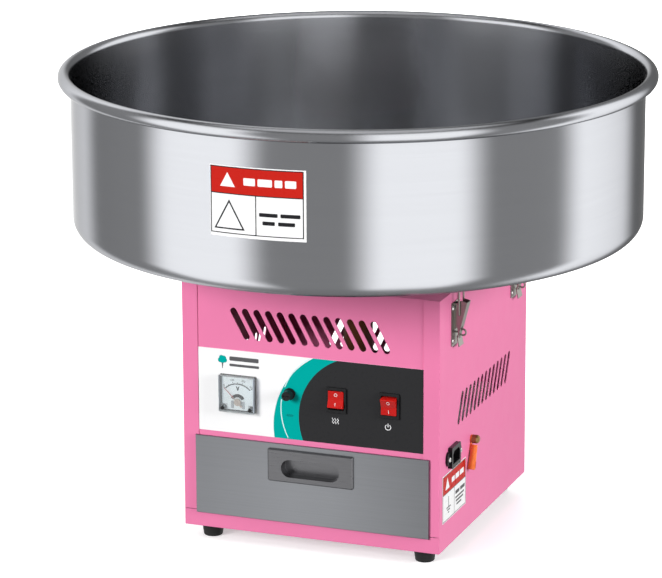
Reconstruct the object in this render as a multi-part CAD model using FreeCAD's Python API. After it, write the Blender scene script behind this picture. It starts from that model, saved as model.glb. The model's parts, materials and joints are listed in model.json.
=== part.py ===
import FreeCAD, Part
import math
import os

# Cotton candy (candy floss) machine: a sheet-steel housing on rubber feet, a wide stainless bowl held
# down by four toggle latches, a motor-driven heated spinner head, a storage drawer, and a control panel.
# Frame: +Z up, front towards -Y, origin on the floor below the bowl's axis. Millimetres.

Vec = FreeCAD.Vector
X = Vec(1, 0, 0)
Y = Vec(0, 1, 0)
Z = Vec(0, 0, 1)

# Housing
HALF_W = 163.0            # half the width, outside the side panels
HALF_D = 166.0            # half the depth, outside the folded lips
SHEET = 1.0               # housing sheet thickness
BASE_Z = 18.0             # underside of the base tray
SEAM_Z = 38.0             # top of the tray's front flange
SEAM_GAP = 0.7            # open seam between that flange and the side panels' lips
FOLD_R = 0.9              # outside radius of the folded corners
TOP_Z = 328.5             # top of the housing
PANEL_Z = 131.5           # lower edge of the front panel
FRONT_LIP = 20.0          # width of each side panel's front lip
BACK_LIP = 15.0
SHELF_Z = 127.5           # underside of the shelf over the drawer bay
IN_W = HALF_W - SHEET     # inner face of the side panels
LIP_Y = HALF_D - SHEET    # inner face of the lips, and the panels' outer face
IN_Y = LIP_Y - SHEET      # inner face of the front and back panels

# Vent slots: 13 in each group, leaning
SLOTS = 13
SLOT_HALF = 4.1
FRONT_SLOT = (14.75, 262.0, 292.0, -8.1)      # pitch, low z, high z, half the lean
SIDE_SLOT = (14.93, 162.7, 192.3, 7.0)        # the side and back panels

# Bowl
BOWL_R = 360.0            # outside of the rolled rim
BOWL_SHEET = 1.0
BOWL_Z = 366.0            # underside of the bowl
RIM_Z = 564.0             # top of the rim
CURL_R = 7.9              # outside radius of the rolled rim's section
CORNER_R = 20.0           # outside radius between floor and wall
HOLE_R = 85.0             # centre hole
HOLE_LIP_Z = 382.0        # top of the hole's upturned edge
WALL_R = BOWL_R - 2 * CURL_R + BOWL_SHEET     # outside of the wall

# Seat between housing and bowl
SEAT_R = 120.0
SEAT_FLANGE_R = 134.0
SEAT_Z = 361.5
GASKET_TOP = 365.8

# Control panel
OVERLAY_T = 0.4
FACE_Y = -LIP_Y - OVERLAY_T                   # front face of the printed overlay
METER_X, METER_Z, METER_HALF = -91.3, 190.8, 22.6
METER_PROUD = 8.0
METER_CAN_R, METER_CAN_DEPTH, METER_CAN_WALL = 19.0, 34.0, 1.5
METER_FLANGE_T, METER_SCREW_IN = 1.6, 5.0     # the case's square flange, and the screws in from its edges
DIAL_IN, DIAL_T = 2.2, 0.8                    # dial plate: in from the meter's edge, and its thickness
COVER_WALL, COVER_FRONT, POST_R = 1.4, 1.3, 2.9
NEEDLE_PIVOT_DROP = 10.5                      # needle pivot below the meter's centre
NEEDLE_REACH, COIL_R, NEEDLE_DEG = 24.6, 4.2, 45
FUSE_X, FUSE_Z = -25.5, 197.0
FUSE_BARREL_R, FUSE_COLLAR_R, FUSE_BORE_R = 6.0, 7.2, 4.4
FUSE_BARREL_DEPTH, FUSE_COLLAR_T = 38.0, 2.2
FUSE_CAP_R, FUSE_CAP_OUT, FUSE_RIBS = 6.2, 13.0, 16
SWITCH_XS = {"heat": 34.0, "power": 100.5}
SWITCH_Z = 195.5
SWITCH_HALF_W, SWITCH_HALF_H, SWITCH_DEPTH = 11.2, 13.7, 24.0
BEZEL_HALF_W, BEZEL_HALF_H, BEZEL_T = 12.5, 15.5, 2.6
ROCKER_HALF_W, ROCKER_HALF_H = 9.5, 10.2
ROCKER_PIN_R, ROCKER_PIN_HALF = 1.2, 10.7
ROCK_DEG = 11.0                               # each way from the middle

# Drawer
DRAWER_HALF = 127.0
DRAWER_BACK = 132.0
DRAWER_Z0, DRAWER_Z1 = 44.0, 123.0
FACE_HALF, FACE_SHIFT = 148.5, 2.0            # drawer face half width, and its offset from the middle
FACE_Z0, FACE_Z1 = 36.0, 134.3
FACE_FRONT = -HALF_D - 3.2                    # front of the drawer face
FACE_BACK = -HALF_D - 0.3
RUNNER_X, RUNNER_Z = 141.5, 54.0
RAIL_IN, RAIL_FRONT, RAIL_BACK = 130.0, -160.0, 150.0      # the rails' inner edge and their ends
RAIL_LOW, RAIL_HIGH, RAIL_PLAY = -2.0, 13.0, 0.3           # heights from the runner's underside
RAIL_WEB, RAIL_TOP = 1.5, 11.3
PULL_Z, CUP_Z = 107.8, 105.2
PULL_HALF_W, PULL_HALF_H, PULL_T = 54.5, 20.4, 2.8
CUP_HALF_W, CUP_R, CUP_DEPTH = 37.0, 10.9, 14.0

# Right side fittings
INLET_Y, INLET_Z = -119.6, 128.0
INLET_SPACING = 40.0
INLET_FLANGE_HALF = (25.0, 9.0, 3.0)          # half length, half height, thickness
INLET_FRAME_HALF = (16.0, 13.0, 5.5)
INLET_BODY_HALF = (15.0, 11.0, 20.0)          # half length, half height, depth
INLET_WELL_HALF = (12.3, 8.0, 14.0)
EARTH_Y, EARTH_Z = -49.5, 127.0
EARTH_NUT_R, EARTH_OUT = 5.3, 11.0            # the domed nut's radius, and its reach from the panel
LABEL_Y0, LABEL_Y1, LABEL_Z0, LABEL_Z1 = -155.0, -69.5, 51.5, 110.3
LABEL_T = 0.3
BOWL_LABEL = (-8.3, 10.8, 433.0, 515.0)       # angles from the front towards +X, and heights

# Feet
FOOT_X, FOOT_Y = 136.5, 141.0
FOOT_TOP_R, FOOT_LOW_R = 14.0, 11.5

# Toggle latches, drawn for the right side with s = distance out from the side panel
LATCH_Y = 113.4
LATCH_PLATE_HALF = 13.85
LATCH_PLATE_Z0, LATCH_PLATE_Z1 = 263.0, 316.0
LATCH_T = 1.2             # latch plate thickness
PIVOT = (11.0, 311.0)     # lever pivot (s, z)
JOINT = (8.0, 301.0)      # bail pivot on the lever
BAR_Z = 355.0             # bail's top bar
WIRE_R = 1.15
WIRE_Y = 8.4
EAR_IN, EAR_OUT = 4.2, 5.2
EAR_R = 3.2               # rounded end of the ears, inside the lever's sloping face
LEVER_IN, LEVER_OUT = 5.5, 6.5
PIN_R = 1.5
EYE = (10.6, 278.4, 3.6, 1.1)                 # padlock eye: s, z, ring radius, wire radius

# Drive and spinner head
SHAFT_R = 6.0
RUN = 0.05                # radial clearance of a running fit
ISOLATOR_AT, ISOLATOR_R, ISOLATOR_H = 52.0, 10.0, 8.0
PLATE_HALF, PLATE_T = 66.0, 4.0
PLATE_Z = SHELF_Z + SHEET + ISOLATOR_H        # underside of the motor's mount plate
MOTOR_R, MOTOR_Z0, MOTOR_Z1 = 48.0, PLATE_Z + PLATE_T, 197.0
BELL_H = 14.0             # height of the motor's end bells
HUB_R, RING_R = 20.0, 25.0
SLEEVE_R, SLEEVE_Z = 18.0, 206.0              # the hub's long lower sleeve
HUB_Z0, HUB_Z1, HUB_FLANGE = 296.0, 350.0, 4.0
RING_ZS = (306.0, 328.0)
RING_H = 12.0
HOLDER_X, HOLDER_TOP = 69.0, 346.0            # the brush holder's screws, and its top
HOLDER_IN, HOLDER_OUT, HOLDER_HALF = 33.0, 52.0, 12.0
BRUSH_LENGTH, BRUSH_HALF, BRUSH_GAP = 16.7, 4.0, 0.3
HEAD_Z = 392.0            # underside of the head's base disc
HEAD_R = 73.0
HEAD_TOP = 446.0
CAP_HOLE_R = 34.0
ELEMENT_R = 62.0
ELEMENT_WAVES = 36
ELEMENT_SWING, ELEMENT_HALF_T, ELEMENT_H = 2.6, 0.35, 38.0
DISC_T = 6.0              # head's base disc
BAND_R0, BAND_R1, BAND_SLITS = 71.3, 72.4, 60
NUT_R, NUT_H = 7.4, 7.0
STUD_R = 4.0              # the shaft's thin end
TERMINAL_X, TERMINAL_Y, TERMINAL_PITCH, TERMINALS = 70.0, 105.0, 11.0, 6


def box(x0, x1, y0, y1, z0, z1):
    return Part.makeBox(x1 - x0, y1 - y0, z1 - z0, Vec(x0, y0, z0))


def rod(radius, start, end):
    along = end - start
    return Part.makeCylinder(radius, along.Length, start, along)


def cone(r0, r1, start, end):
    along = end - start
    return Part.makeCone(r0, r1, along.Length, start, along)


def fused(shapes):
    whole = shapes[0]
    for shape in shapes[1:]:
        whole = whole.fuse(shape)
    return whole.removeSplitter()


def minus(shape, *tools):
    for tool in tools:
        shape = shape.cut(tool)
    return shape


def mirrored_x(shape):
    return shape.mirror(Vec(0, 0, 0), X)


def group(shapes):
    solids = []
    for shape in shapes:
        solids.extend(shape.Solids)
    return Part.makeCompound(solids)


def save(node, shape):
    solids = shape.Solids
    if not solids or not shape.isValid():
        raise ValueError("bad shape: " + node)
    shape = solids[0] if len(solids) == 1 else Part.makeCompound(solids)
    shape.exportStep(os.path.join("parts", node + ".step"))
    print(node, len(solids), round(shape.Volume, 1))


def at_xz(a, b):
    return Vec(a, 0, b)


def at_yz(a, b):
    return Vec(0, a, b)


def outline(place, start, moves):
    """A closed face from a start point and moves: (point) is a line, (middle, point) an arc."""
    edges = []
    here = place(*start)
    for move in moves:
        there = place(*move[-1])
        if len(move) == 1:
            edges.append(Part.LineSegment(here, there).toShape())
        else:
            edges.append(Part.Arc(here, place(*move[0]), there).toShape())
        here = there
    if (here - place(*start)).Length > 1e-6:
        edges.append(Part.LineSegment(here, place(*start)).toShape())
    return Part.Face(Part.Wire(edges))


def polygon(place, points):
    return outline(place, points[0], [(point,) for point in points[1:]])


def turned(face):
    return face.revolve(Vec(0, 0, 0), Z, 360)


def plate_xz(face, y0, y1):
    face.translate(Vec(0, y0, 0))
    return face.extrude(Vec(0, y1 - y0, 0))


def plate_yz(face, x0, x1):
    face.translate(Vec(x0, 0, 0))
    return face.extrude(Vec(x1 - x0, 0, 0))


def stadium(place, a, b, radius):
    """A slot shape with round ends centred on the points a and b."""
    length = math.hypot(b[0] - a[0], b[1] - a[1])
    u = ((b[0] - a[0]) / length, (b[1] - a[1]) / length)
    n = (-u[1] * radius, u[0] * radius)
    tip_b = (b[0] + u[0] * radius, b[1] + u[1] * radius)
    tip_a = (a[0] - u[0] * radius, a[1] - u[1] * radius)
    start = (a[0] + n[0], a[1] + n[1])
    moves = [((b[0] + n[0], b[1] + n[1]),), (tip_b, (b[0] - n[0], b[1] - n[1])),
             ((a[0] - n[0], a[1] - n[1]),), (tip_a, start)]
    return outline(place, start, moves)


def rounded(place, a0, a1, b0, b1, r):
    """A rectangle with round corners."""
    k = r * (1 - math.sqrt(0.5))
    moves = [((a1 - r, b0),), ((a1 - k, b0 + k), (a1, b0 + r)),
             ((a1, b1 - r),), ((a1 - k, b1 - k), (a1 - r, b1)),
             ((a0 + r, b1),), ((a0 + k, b1 - k), (a0, b1 - r)),
             ((a0, b0 + r),), ((a0 + k, b0 + k), (a0 + r, b0))]
    return outline(place, (a0 + r, b0), moves)


def screw(seat, way, head_r, head_h, shank_r, length, nut_r=0.0, nut_h=0.0):
    """A pan-head screw: its head stands on the seat, its shank runs along way from the seat."""
    head = rod(head_r, seat - way * head_h, seat)
    edges = [edge for edge in head.Edges if (edge.CenterOfMass - (seat - way * head_h)).Length < 0.01]
    head = head.makeFillet(head_h * 0.55, edges)
    cross = Part.makeBox(head_r * 1.2, head_r * 0.22, head_h * 0.5)
    cross.translate(Vec(-head_r * 0.6, -head_r * 0.11, 0))
    turn = FreeCAD.Rotation(Z, way)
    for spin in (0, 90):
        slot = cross.copy()
        slot.Placement = FreeCAD.Placement(seat - way * head_h, turn * FreeCAD.Rotation(Z, spin))
        slot = slot.copy()
        offset = turn.multVec(FreeCAD.Rotation(Z, spin).multVec(Vec(-head_r * 0.6, -head_r * 0.11, 0)))
        slot.translate(offset)
        head = head.cut(slot)
    parts = [head, rod(shank_r, seat, seat + way * length)]
    if nut_r:
        parts.append(rod(nut_r, seat + way * (length - nut_h), seat + way * length))
    return fused(parts)


def hole(seat, way, shank_r, length):
    """The clearance hole for a screw's shank."""
    return rod(shank_r + 0.1, seat - way, seat + way * length)


# Where the screws of the housing stand: seat point, direction, head radius and height, shank, length.
def back_screws():
    spots = []
    for side in (-1, 1):
        for z in (50.0, 180.0, 310.0):
            spots.append((Vec(side * (HALF_W - 8.5), HALF_D, z), -Y, 3.8, 2.2, 1.9, 8.0))
    return spots


def foot_screws():
    return [(Vec(sx * FOOT_X, sy * FOOT_Y, 6.0), Z, 4.0, 2.6, 2.0, 20.0) for sx in (-1, 1) for sy in (-1, 1)]


def seat_screws():
    radius = (SEAT_R + SEAT_FLANGE_R) / 2 + 0.6
    spots = []
    for index in range(6):
        angle = math.radians(30 + 60 * index)
        point = Vec(radius * math.cos(angle), radius * math.sin(angle), TOP_Z + SHEET)
        spots.append((point, -Z, 3.6, 2.2, 1.9, 8.0))
    return spots


def inlet_screws():
    spots = []
    for side in (-1, 1):
        point = Vec(HALF_W + INLET_FLANGE_HALF[2], INLET_Y + side * INLET_SPACING / 2, INLET_Z)
        spots.append((point, -X, 3.0, 1.9, 1.5, 9.0))
    return spots


def motor_bolts():
    length = PLATE_T + ISOLATOR_H + SHEET + 3.4
    return [(Vec(sx * ISOLATOR_AT, sy * ISOLATOR_AT, MOTOR_Z0), -Z, 5.0, 3.6, 3.0, length)
            for sx in (-1, 1) for sy in (-1, 1)]


def holder_screws():
    return [(Vec(HOLDER_X, y, TOP_Z), -Z, 2.8, 1.8, 1.5, 7.0) for y in (-10.0, 10.0)]


def holes_for(spots):
    return [hole(seat, way, shank, length) for seat, way, _, _, shank, length in spots]


def slot_tools(place, extrude, low_high, centre=0.0):
    """One group of leaning vent slots, centred on the panel."""
    pitch, z0, z1, lean = low_high
    tools = []
    for index in range(SLOTS):
        mid = centre + (index - (SLOTS - 1) / 2) * pitch
        tools.append(extrude(stadium(place, (mid + lean, z1), (mid - lean, z0), SLOT_HALF)))
    return tools


# ---- Housing ----

def fold(shape, x, y):
    """Round an upright outside corner at x, y."""
    corner = Vec(x, y, 0)
    edges = [edge for edge in shape.Edges if edge.Length > SHEET
             and (Vec(edge.CenterOfMass.x, edge.CenterOfMass.y, 0) - corner).Length < 0.01]
    return shape.makeFillet(FOLD_R, edges)


def base_tray():
    floor = box(-IN_W, IN_W, -LIP_Y, LIP_Y, BASE_Z, BASE_Z + SHEET)
    front = box(-HALF_W, HALF_W, -HALF_D, -LIP_Y, BASE_Z, SEAM_Z)
    for side in (-1, 1):
        front = fold(front, side * HALF_W, -HALF_D)
    back = box(-IN_W, IN_W, IN_Y - SHEET, IN_Y, BASE_Z, SEAM_Z)
    parts = [floor, front, back]
    for side in (-1, 1):
        inner, outer = sorted((side * IN_W, side * (IN_W - SHEET)))
        parts.append(box(inner, outer, -LIP_Y, IN_Y, BASE_Z, SEAM_Z))
    return minus(fused(parts), *holes_for(foot_screws()))


def side_panel_right():
    wall = box(IN_W, HALF_W, -LIP_Y, LIP_Y, BASE_Z, TOP_Z)
    front = fold(box(HALF_W - FRONT_LIP, HALF_W, -HALF_D, -LIP_Y, SEAM_Z + SEAM_GAP, TOP_Z), HALF_W, -HALF_D)
    back = fold(box(HALF_W - BACK_LIP, HALF_W, LIP_Y, HALF_D, SEAM_Z + SEAM_GAP, TOP_Z), HALF_W, HALF_D)
    tools = slot_tools(at_yz, lambda face: plate_yz(face, IN_W - 1, HALF_W + 1), SIDE_SLOT)
    return minus(fused([wall, front, back]), *tools, *latch_holes(), *holes_for(back_screws()))


def inlet_cutout():
    long, high = INLET_BODY_HALF[0] + 0.2, INLET_BODY_HALF[1] + 0.2
    return box(IN_W - 2, HALF_W + 1, INLET_Y - long, INLET_Y + long, INLET_Z - high, INLET_Z + high)


def front_panel():
    plate = box(-IN_W, IN_W, -LIP_Y, -IN_Y, PANEL_Z, TOP_Z)
    tools = slot_tools(at_xz, lambda face: plate_xz(face, -LIP_Y - 1, -IN_Y + 1), FRONT_SLOT)
    return minus(plate, *tools, *control_cutouts())


def control_cutouts():
    """The holes that the instruments need through the front panel and its overlay."""
    tools = [rod(METER_CAN_R + 0.2, Vec(METER_X, FACE_Y - 1, METER_Z), Vec(METER_X, -IN_Y + 1, METER_Z)),
             rod(FUSE_BARREL_R + 0.1, Vec(FUSE_X, FACE_Y - 1, FUSE_Z), Vec(FUSE_X, -IN_Y + 1, FUSE_Z))]
    half_w, half_h = SWITCH_HALF_W + 0.1, SWITCH_HALF_H + 0.1
    for centre in SWITCH_XS.values():
        tools.append(box(centre - half_w, centre + half_w, FACE_Y - 1, -IN_Y + 1,
                         SWITCH_Z - half_h, SWITCH_Z + half_h))
    return tools


def back_panel():
    plate = box(-IN_W, IN_W, IN_Y, LIP_Y, BASE_Z + SHEET, TOP_Z)
    tools = slot_tools(at_xz, lambda face: plate_xz(face, IN_Y - 1, LIP_Y + 1), SIDE_SLOT)
    return minus(plate, *tools, *holes_for(back_screws()))


def top_plate():
    parts = [box(-IN_W, IN_W, -IN_Y, IN_Y, TOP_Z - SHEET, TOP_Z)]
    for side in (-1, 1):
        inner, outer = sorted((side * IN_W, side * (IN_W - SHEET)))
        parts.append(box(inner, outer, -IN_Y, IN_Y, TOP_Z - 16, TOP_Z))
    bore = rod(60.0, Vec(0, 0, TOP_Z - 5), Vec(0, 0, TOP_Z + 5))
    return minus(fused(parts), bore, *holes_for(seat_screws()), *holes_for(holder_screws()))


def bay_shelf():
    parts = [box(-IN_W, IN_W, -IN_Y, IN_Y, SHELF_Z, SHELF_Z + SHEET)]
    for side in (-1, 1):
        inner, outer = sorted((side * IN_W, side * (IN_W - SHEET)))
        notch_front = INLET_Y + 30 if side > 0 else -IN_Y
        parts.append(box(inner, outer, notch_front, IN_Y, SHELF_Z, SHELF_Z + 14))
    shelf = fused(parts)
    earth = rod(6.0, Vec(IN_W - 20, EARTH_Y, EARTH_Z), Vec(IN_W, EARTH_Y, EARTH_Z))
    inlet = box(IN_W - 30, IN_W, INLET_Y - 26, INLET_Y + 26, SHELF_Z - 1, SHELF_Z + 16)
    return minus(shelf, earth, inlet, *holes_for(motor_bolts()))


def drawer_rails():
    """Two channels on the side panels; the drawer's runner flanges slide in them."""
    z0, z1 = RUNNER_Z + RAIL_LOW, RUNNER_Z + RAIL_HIGH
    low_top, high_low = RUNNER_Z - RAIL_PLAY, RUNNER_Z + RAIL_TOP
    web = box(IN_W - RAIL_WEB, IN_W, RAIL_FRONT, RAIL_BACK, z0, z1)
    low = box(RAIL_IN, IN_W, RAIL_FRONT, RAIL_BACK, z0, low_top)
    high = box(RAIL_IN, IN_W, RAIL_FRONT, RAIL_BACK, high_low, z1)
    stop = box(RAIL_IN + 6, IN_W, RAIL_BACK - 4, RAIL_BACK - 2, low_top, high_low)
    rail = fused([web, low, high, stop])
    return group([rail, mirrored_x(rail)])


def bowl_seat():
    wall_in = SEAT_R - SHEET
    face = polygon(lambda r, z: Vec(r, 0, z),
                   [(wall_in, TOP_Z), (SEAT_FLANGE_R, TOP_Z), (SEAT_FLANGE_R, TOP_Z + SHEET),
                    (SEAT_R, TOP_Z + SHEET), (SEAT_R, SEAT_Z), (wall_in, SEAT_Z)])
    return minus(turned(face), *holes_for(seat_screws()))


def seat_gasket():
    inner, outer = SEAT_R - SHEET, SEAT_R
    face = polygon(at_xz, [(inner - 2.2, SEAT_Z - 6), (inner, SEAT_Z - 6), (inner, SEAT_Z),
                           (outer, SEAT_Z), (outer, SEAT_Z - 6), (outer + 2.2, SEAT_Z - 6),
                           (outer + 2.2, GASKET_TOP - 1), (outer + 1.2, GASKET_TOP),
                           (inner - 1.2, GASKET_TOP), (inner - 2.2, GASKET_TOP - 1)])
    return turned(face)


def feet():
    pads = []
    for sx in (-1, 1):
        for sy in (-1, 1):
            at = Vec(sx * FOOT_X, sy * FOOT_Y, 0)
            pad = cone(FOOT_LOW_R, FOOT_TOP_R, at, at + Z * BASE_Z)
            rim = [edge for edge in pad.Edges if edge.CenterOfMass.z < 0.01 and edge.Length > 20]
            pad = pad.makeFillet(2.0, rim)
            recess = rod(5.2, at - Z, at + Z * 6.0)
            pads.append(minus(pad, recess, rod(2.2, at, at + Z * 20)))
    return group(pads)


def machine_screws():
    spots = back_screws() + foot_screws() + seat_screws() + inlet_screws() + holder_screws()
    shapes = [screw(*spot) for spot in spots]
    for spot in motor_bolts():
        shapes.append(screw(*spot, nut_r=5.6, nut_h=3.0))
    return group(shapes)


# ---- Control panel ----

def control_overlay():
    plate = box(-142.6, 142.6, FACE_Y, -LIP_Y, 140.5, 243.7)
    return minus(plate, *control_cutouts())


def voltmeter_case():
    x, z = METER_X, METER_Z
    end = FACE_Y + METER_CAN_DEPTH
    back = rod(METER_CAN_R, Vec(x, FACE_Y, z), Vec(x, end, z))
    hollow = rod(METER_CAN_R - METER_CAN_WALL, Vec(x, FACE_Y - 5, z), Vec(x, end - 2, z))
    half = METER_HALF
    flange = box(x - half, x + half, FACE_Y - METER_FLANGE_T, FACE_Y, z - half, z + half)
    tabs = [rod(2.5, Vec(x + side * 9, end, z), Vec(x + side * 9, end + 8, z)) for side in (-1, 1)]
    case = fused([minus(fused([back, flange]), hollow)] + tabs)
    return minus(case, *meter_screw_bores())


def meter_screw_spots():
    reach, y = METER_HALF - METER_SCREW_IN, FACE_Y - METER_PROUD
    return [(Vec(METER_X + side * reach, y, METER_Z - reach), Y, 2.3, 1.2, 1.3, METER_PROUD)
            for side in (-1, 1)]


def meter_screw_bores():
    return holes_for(meter_screw_spots())


def voltmeter_dial():
    """T-shaped plate: its narrow foot passes between the cover's screw posts."""
    x, z, half = METER_X, METER_Z, METER_HALF - DIAL_IN
    y1 = FACE_Y - METER_FLANGE_T
    y0 = y1 - DIAL_T
    plate = plate_xz(rounded(at_xz, x - half, x + half, z - half + 6.5, z + half, 1.5), y0, y1)
    foot = box(x - half + 7, x + half - 7, y0, y1, z - half, z)
    pivot = rod(1.5, Vec(x, FACE_Y - 3, z - NEEDLE_PIVOT_DROP), Vec(x, FACE_Y, z - NEEDLE_PIVOT_DROP))
    return minus(fused([plate, foot]), pivot)


def voltmeter_window():
    x, z, half = METER_X, METER_Z, METER_HALF
    front, back, room_half = FACE_Y - METER_PROUD, FACE_Y - METER_FLANGE_T, half - COVER_WALL
    shell = plate_xz(rounded(at_xz, x - half, x + half, z - half, z + half, 1.2), front, back)
    room = box(x - room_half, x + room_half, front + COVER_FRONT, FACE_Y, z - room_half, z + room_half)
    posts = [rod(POST_R, Vec(seat.x, front + 0.5, seat.z), Vec(seat.x, back, seat.z))
             for seat, *_ in meter_screw_spots()]
    return minus(fused([minus(shell, room)] + posts), *meter_screw_bores())


def voltmeter_screws():
    return group([screw(*spot) for spot in meter_screw_spots()])


def voltmeter_needle():
    """Pointer at the left end of its sweep, on a round coil hub."""
    x, z = METER_X, METER_Z - NEEDLE_PIVOT_DROP
    hub = rod(COIL_R, Vec(x, FACE_Y - 2.7, z), Vec(x, FACE_Y - 5.0, z))
    y0, y1 = FACE_Y - 4.4, FACE_Y - 4.0
    blade = polygon(at_xz, [(-0.5, 3.5), (0.5, 3.5), (0.2, NEEDLE_REACH), (-0.2, NEEDLE_REACH)])
    tail = plate_xz(polygon(at_xz, [(-0.8, -3.5), (0.8, -3.5), (1.3, -8.0), (-1.3, -8.0)]), y0, y1)
    needle = plate_xz(blade, y0, y1).fuse(tail)
    needle.rotate(Vec(0, 0, 0), Y, -NEEDLE_DEG)
    needle.translate(Vec(x, 0, z))
    pivot = rod(0.8, Vec(x, FACE_Y + 6, z), Vec(x, FACE_Y - 5.4, z))
    return fused([hub, needle, pivot])


def fuse_holder_body():
    front, end = FACE_Y - FUSE_COLLAR_T, FACE_Y + FUSE_BARREL_DEPTH
    collar = rod(FUSE_COLLAR_R, Vec(FUSE_X, front, FUSE_Z), Vec(FUSE_X, FACE_Y, FUSE_Z))
    barrel = rod(FUSE_BARREL_R, Vec(FUSE_X, front, FUSE_Z), Vec(FUSE_X, end, FUSE_Z))
    nut = rod(FUSE_BARREL_R + 3, Vec(FUSE_X, -IN_Y, FUSE_Z), Vec(FUSE_X, -IN_Y + 4, FUSE_Z))
    bore = rod(FUSE_BORE_R, Vec(FUSE_X, front - 1, FUSE_Z), Vec(FUSE_X, end - 2, FUSE_Z))
    tab = box(FUSE_X - 2.4, FUSE_X + 2.4, end, end + 9, FUSE_Z - 0.4, FUSE_Z + 0.4)
    return minus(fused([collar, barrel, nut, tab]), bore)


def fuse_cap():
    back, front = FACE_Y - FUSE_COLLAR_T - 0.3, FACE_Y - FUSE_CAP_OUT
    head = cone(FUSE_CAP_R, FUSE_CAP_R - 0.5, Vec(FUSE_X, back, FUSE_Z), Vec(FUSE_X, front, FUSE_Z))
    rim = [edge for edge in head.Edges if abs(edge.CenterOfMass.y - front) < 0.01]
    head = head.makeFillet(0.8, rim)
    ribs = []
    rib_r = FUSE_CAP_R + 0.15
    for index in range(FUSE_RIBS):
        angle = math.radians(360 / FUSE_RIBS * index)
        spot = Vec(FUSE_X + rib_r * math.cos(angle), 0, FUSE_Z + rib_r * math.sin(angle))
        ribs.append(rod(0.5, spot + Y * (back - 1.5), spot + Y * (front - 1)))
    slot = box(FUSE_X - 4.2, FUSE_X + 4.2, front - 1, front + 1.3, FUSE_Z - 0.6, FUSE_Z + 0.6)
    stem = minus(rod(4.1, Vec(FUSE_X, back, FUSE_Z), Vec(FUSE_X, back + 9, FUSE_Z)),
                 rod(2.6, Vec(FUSE_X, back + 1, FUSE_Z), Vec(FUSE_X, back + 10, FUSE_Z)))
    return fused([minus(head, slot, *ribs), stem])


def fuse():
    """Glass cartridge fuse, 5 x 20 mm, held in the cap's stem."""
    start = FACE_Y - 1.2
    parts = [rod(2.5, Vec(FUSE_X, start, FUSE_Z), Vec(FUSE_X, start + 5, FUSE_Z)),
             rod(2.3, Vec(FUSE_X, start + 5, FUSE_Z), Vec(FUSE_X, start + 15, FUSE_Z)),
             rod(2.5, Vec(FUSE_X, start + 15, FUSE_Z), Vec(FUSE_X, start + 20, FUSE_Z))]
    return fused(parts)


ROCKER_PIVOT_Y = FACE_Y - BEZEL_T + 5.0       # rocker axis, 5 mm behind the bezel's front


def switch_body(centre):
    front, end = FACE_Y - BEZEL_T, FACE_Y + SWITCH_DEPTH
    bezel = plate_xz(rounded(at_xz, centre - BEZEL_HALF_W, centre + BEZEL_HALF_W,
                             SWITCH_Z - BEZEL_HALF_H, SWITCH_Z + BEZEL_HALF_H, 1.2), front, FACE_Y)
    back = box(centre - SWITCH_HALF_W, centre + SWITCH_HALF_W, FACE_Y, end,
               SWITCH_Z - SWITCH_HALF_H, SWITCH_Z + SWITCH_HALF_H)
    well_w, well_h = ROCKER_HALF_W + 0.4, ROCKER_HALF_H + 1.8
    well = box(centre - well_w, centre + well_w, front - 1, ROCKER_PIVOT_Y + 6,
               SWITCH_Z - well_h, SWITCH_Z + well_h)
    reach = X * (ROCKER_PIN_HALF + 0.2)
    middle = Vec(centre, ROCKER_PIVOT_Y, SWITCH_Z)
    pin = rod(ROCKER_PIN_R + RUN, middle - reach, middle + reach)
    tabs = [box(centre - 3.1, centre + 3.1, end, end + 8, SWITCH_Z + dz - 0.4, SWITCH_Z + dz + 0.4)
            for dz in (-9, 0, 9)]
    return minus(fused([bezel, back] + tabs), well, pin)


def rocker(centre, degrees):
    """A rocker with two sloping press faces, turned to its rest side."""
    out = ROCKER_PIVOT_Y
    high, mid, deep = out - 8.0, out - 6.2, out + 2.0
    half = ROCKER_HALF_H
    face = polygon(at_yz, [(deep, -half), (high, -half), (mid, 0), (high, half), (deep, half)])
    body = plate_yz(face, -ROCKER_HALF_W, ROCKER_HALF_W)
    ends = [edge for edge in body.Edges if abs(edge.CenterOfMass.y - high) < 0.01 and edge.Length > 15]
    body = body.makeFillet(0.7, ends)
    pin = rod(ROCKER_PIN_R, Vec(-ROCKER_PIN_HALF, out, 0), Vec(ROCKER_PIN_HALF, out, 0))
    shape = fused([body, pin])
    shape.rotate(Vec(0, out, 0), X, degrees)
    shape.translate(Vec(centre, 0, SWITCH_Z))
    return shape


# ---- Right side fittings ----

def mains_inlet():
    """Three-pin appliance inlet: screw flange, raised frame and a recess with two bevelled corners."""
    y, z = INLET_Y, INLET_Z
    long, high, out = INLET_FLANGE_HALF
    flange = plate_yz(rounded(at_yz, y - long, y + long, z - high, z + high, 7.5), HALF_W, HALF_W + out)
    long, high, out = INLET_FRAME_HALF
    frame = plate_yz(rounded(at_yz, y - long, y + long, z - high, z + high, 2.5), HALF_W, HALF_W + out)
    long, high, depth = INLET_BODY_HALF
    back = box(HALF_W - depth, HALF_W, y - long, y + long, z - high, z + high)
    long, high, depth = INLET_WELL_HALF
    bevel = 4.0
    shoulder = z + high - bevel
    well = polygon(at_yz, [(y - long, z - high), (y + long, z - high), (y + long, shoulder),
                           (y + long - bevel, z + high), (y - long + bevel, z + high), (y - long, shoulder)])
    inlet = minus(fused([flange, frame, back]), plate_yz(well, HALF_W - depth, HALF_W + 7))
    return minus(inlet, *holes_for(inlet_screws()), *[pin_shape(0.0, *spot) for spot in pin_spots()])


def pin_spots():
    return [(INLET_Y - 7, INLET_Z - 2), (INLET_Y + 7, INLET_Z - 2), (INLET_Y, INLET_Z + 2)]


def pin_shape(grow, y, z):
    return box(HALF_W - 24, HALF_W - 2, y - 1.0 - grow, y + 1.0 + grow, z - 2.0 - grow, z + 2.0 + grow)


def inlet_pins():
    return group([pin_shape(0.0, *spot) for spot in pin_spots()])


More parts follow.
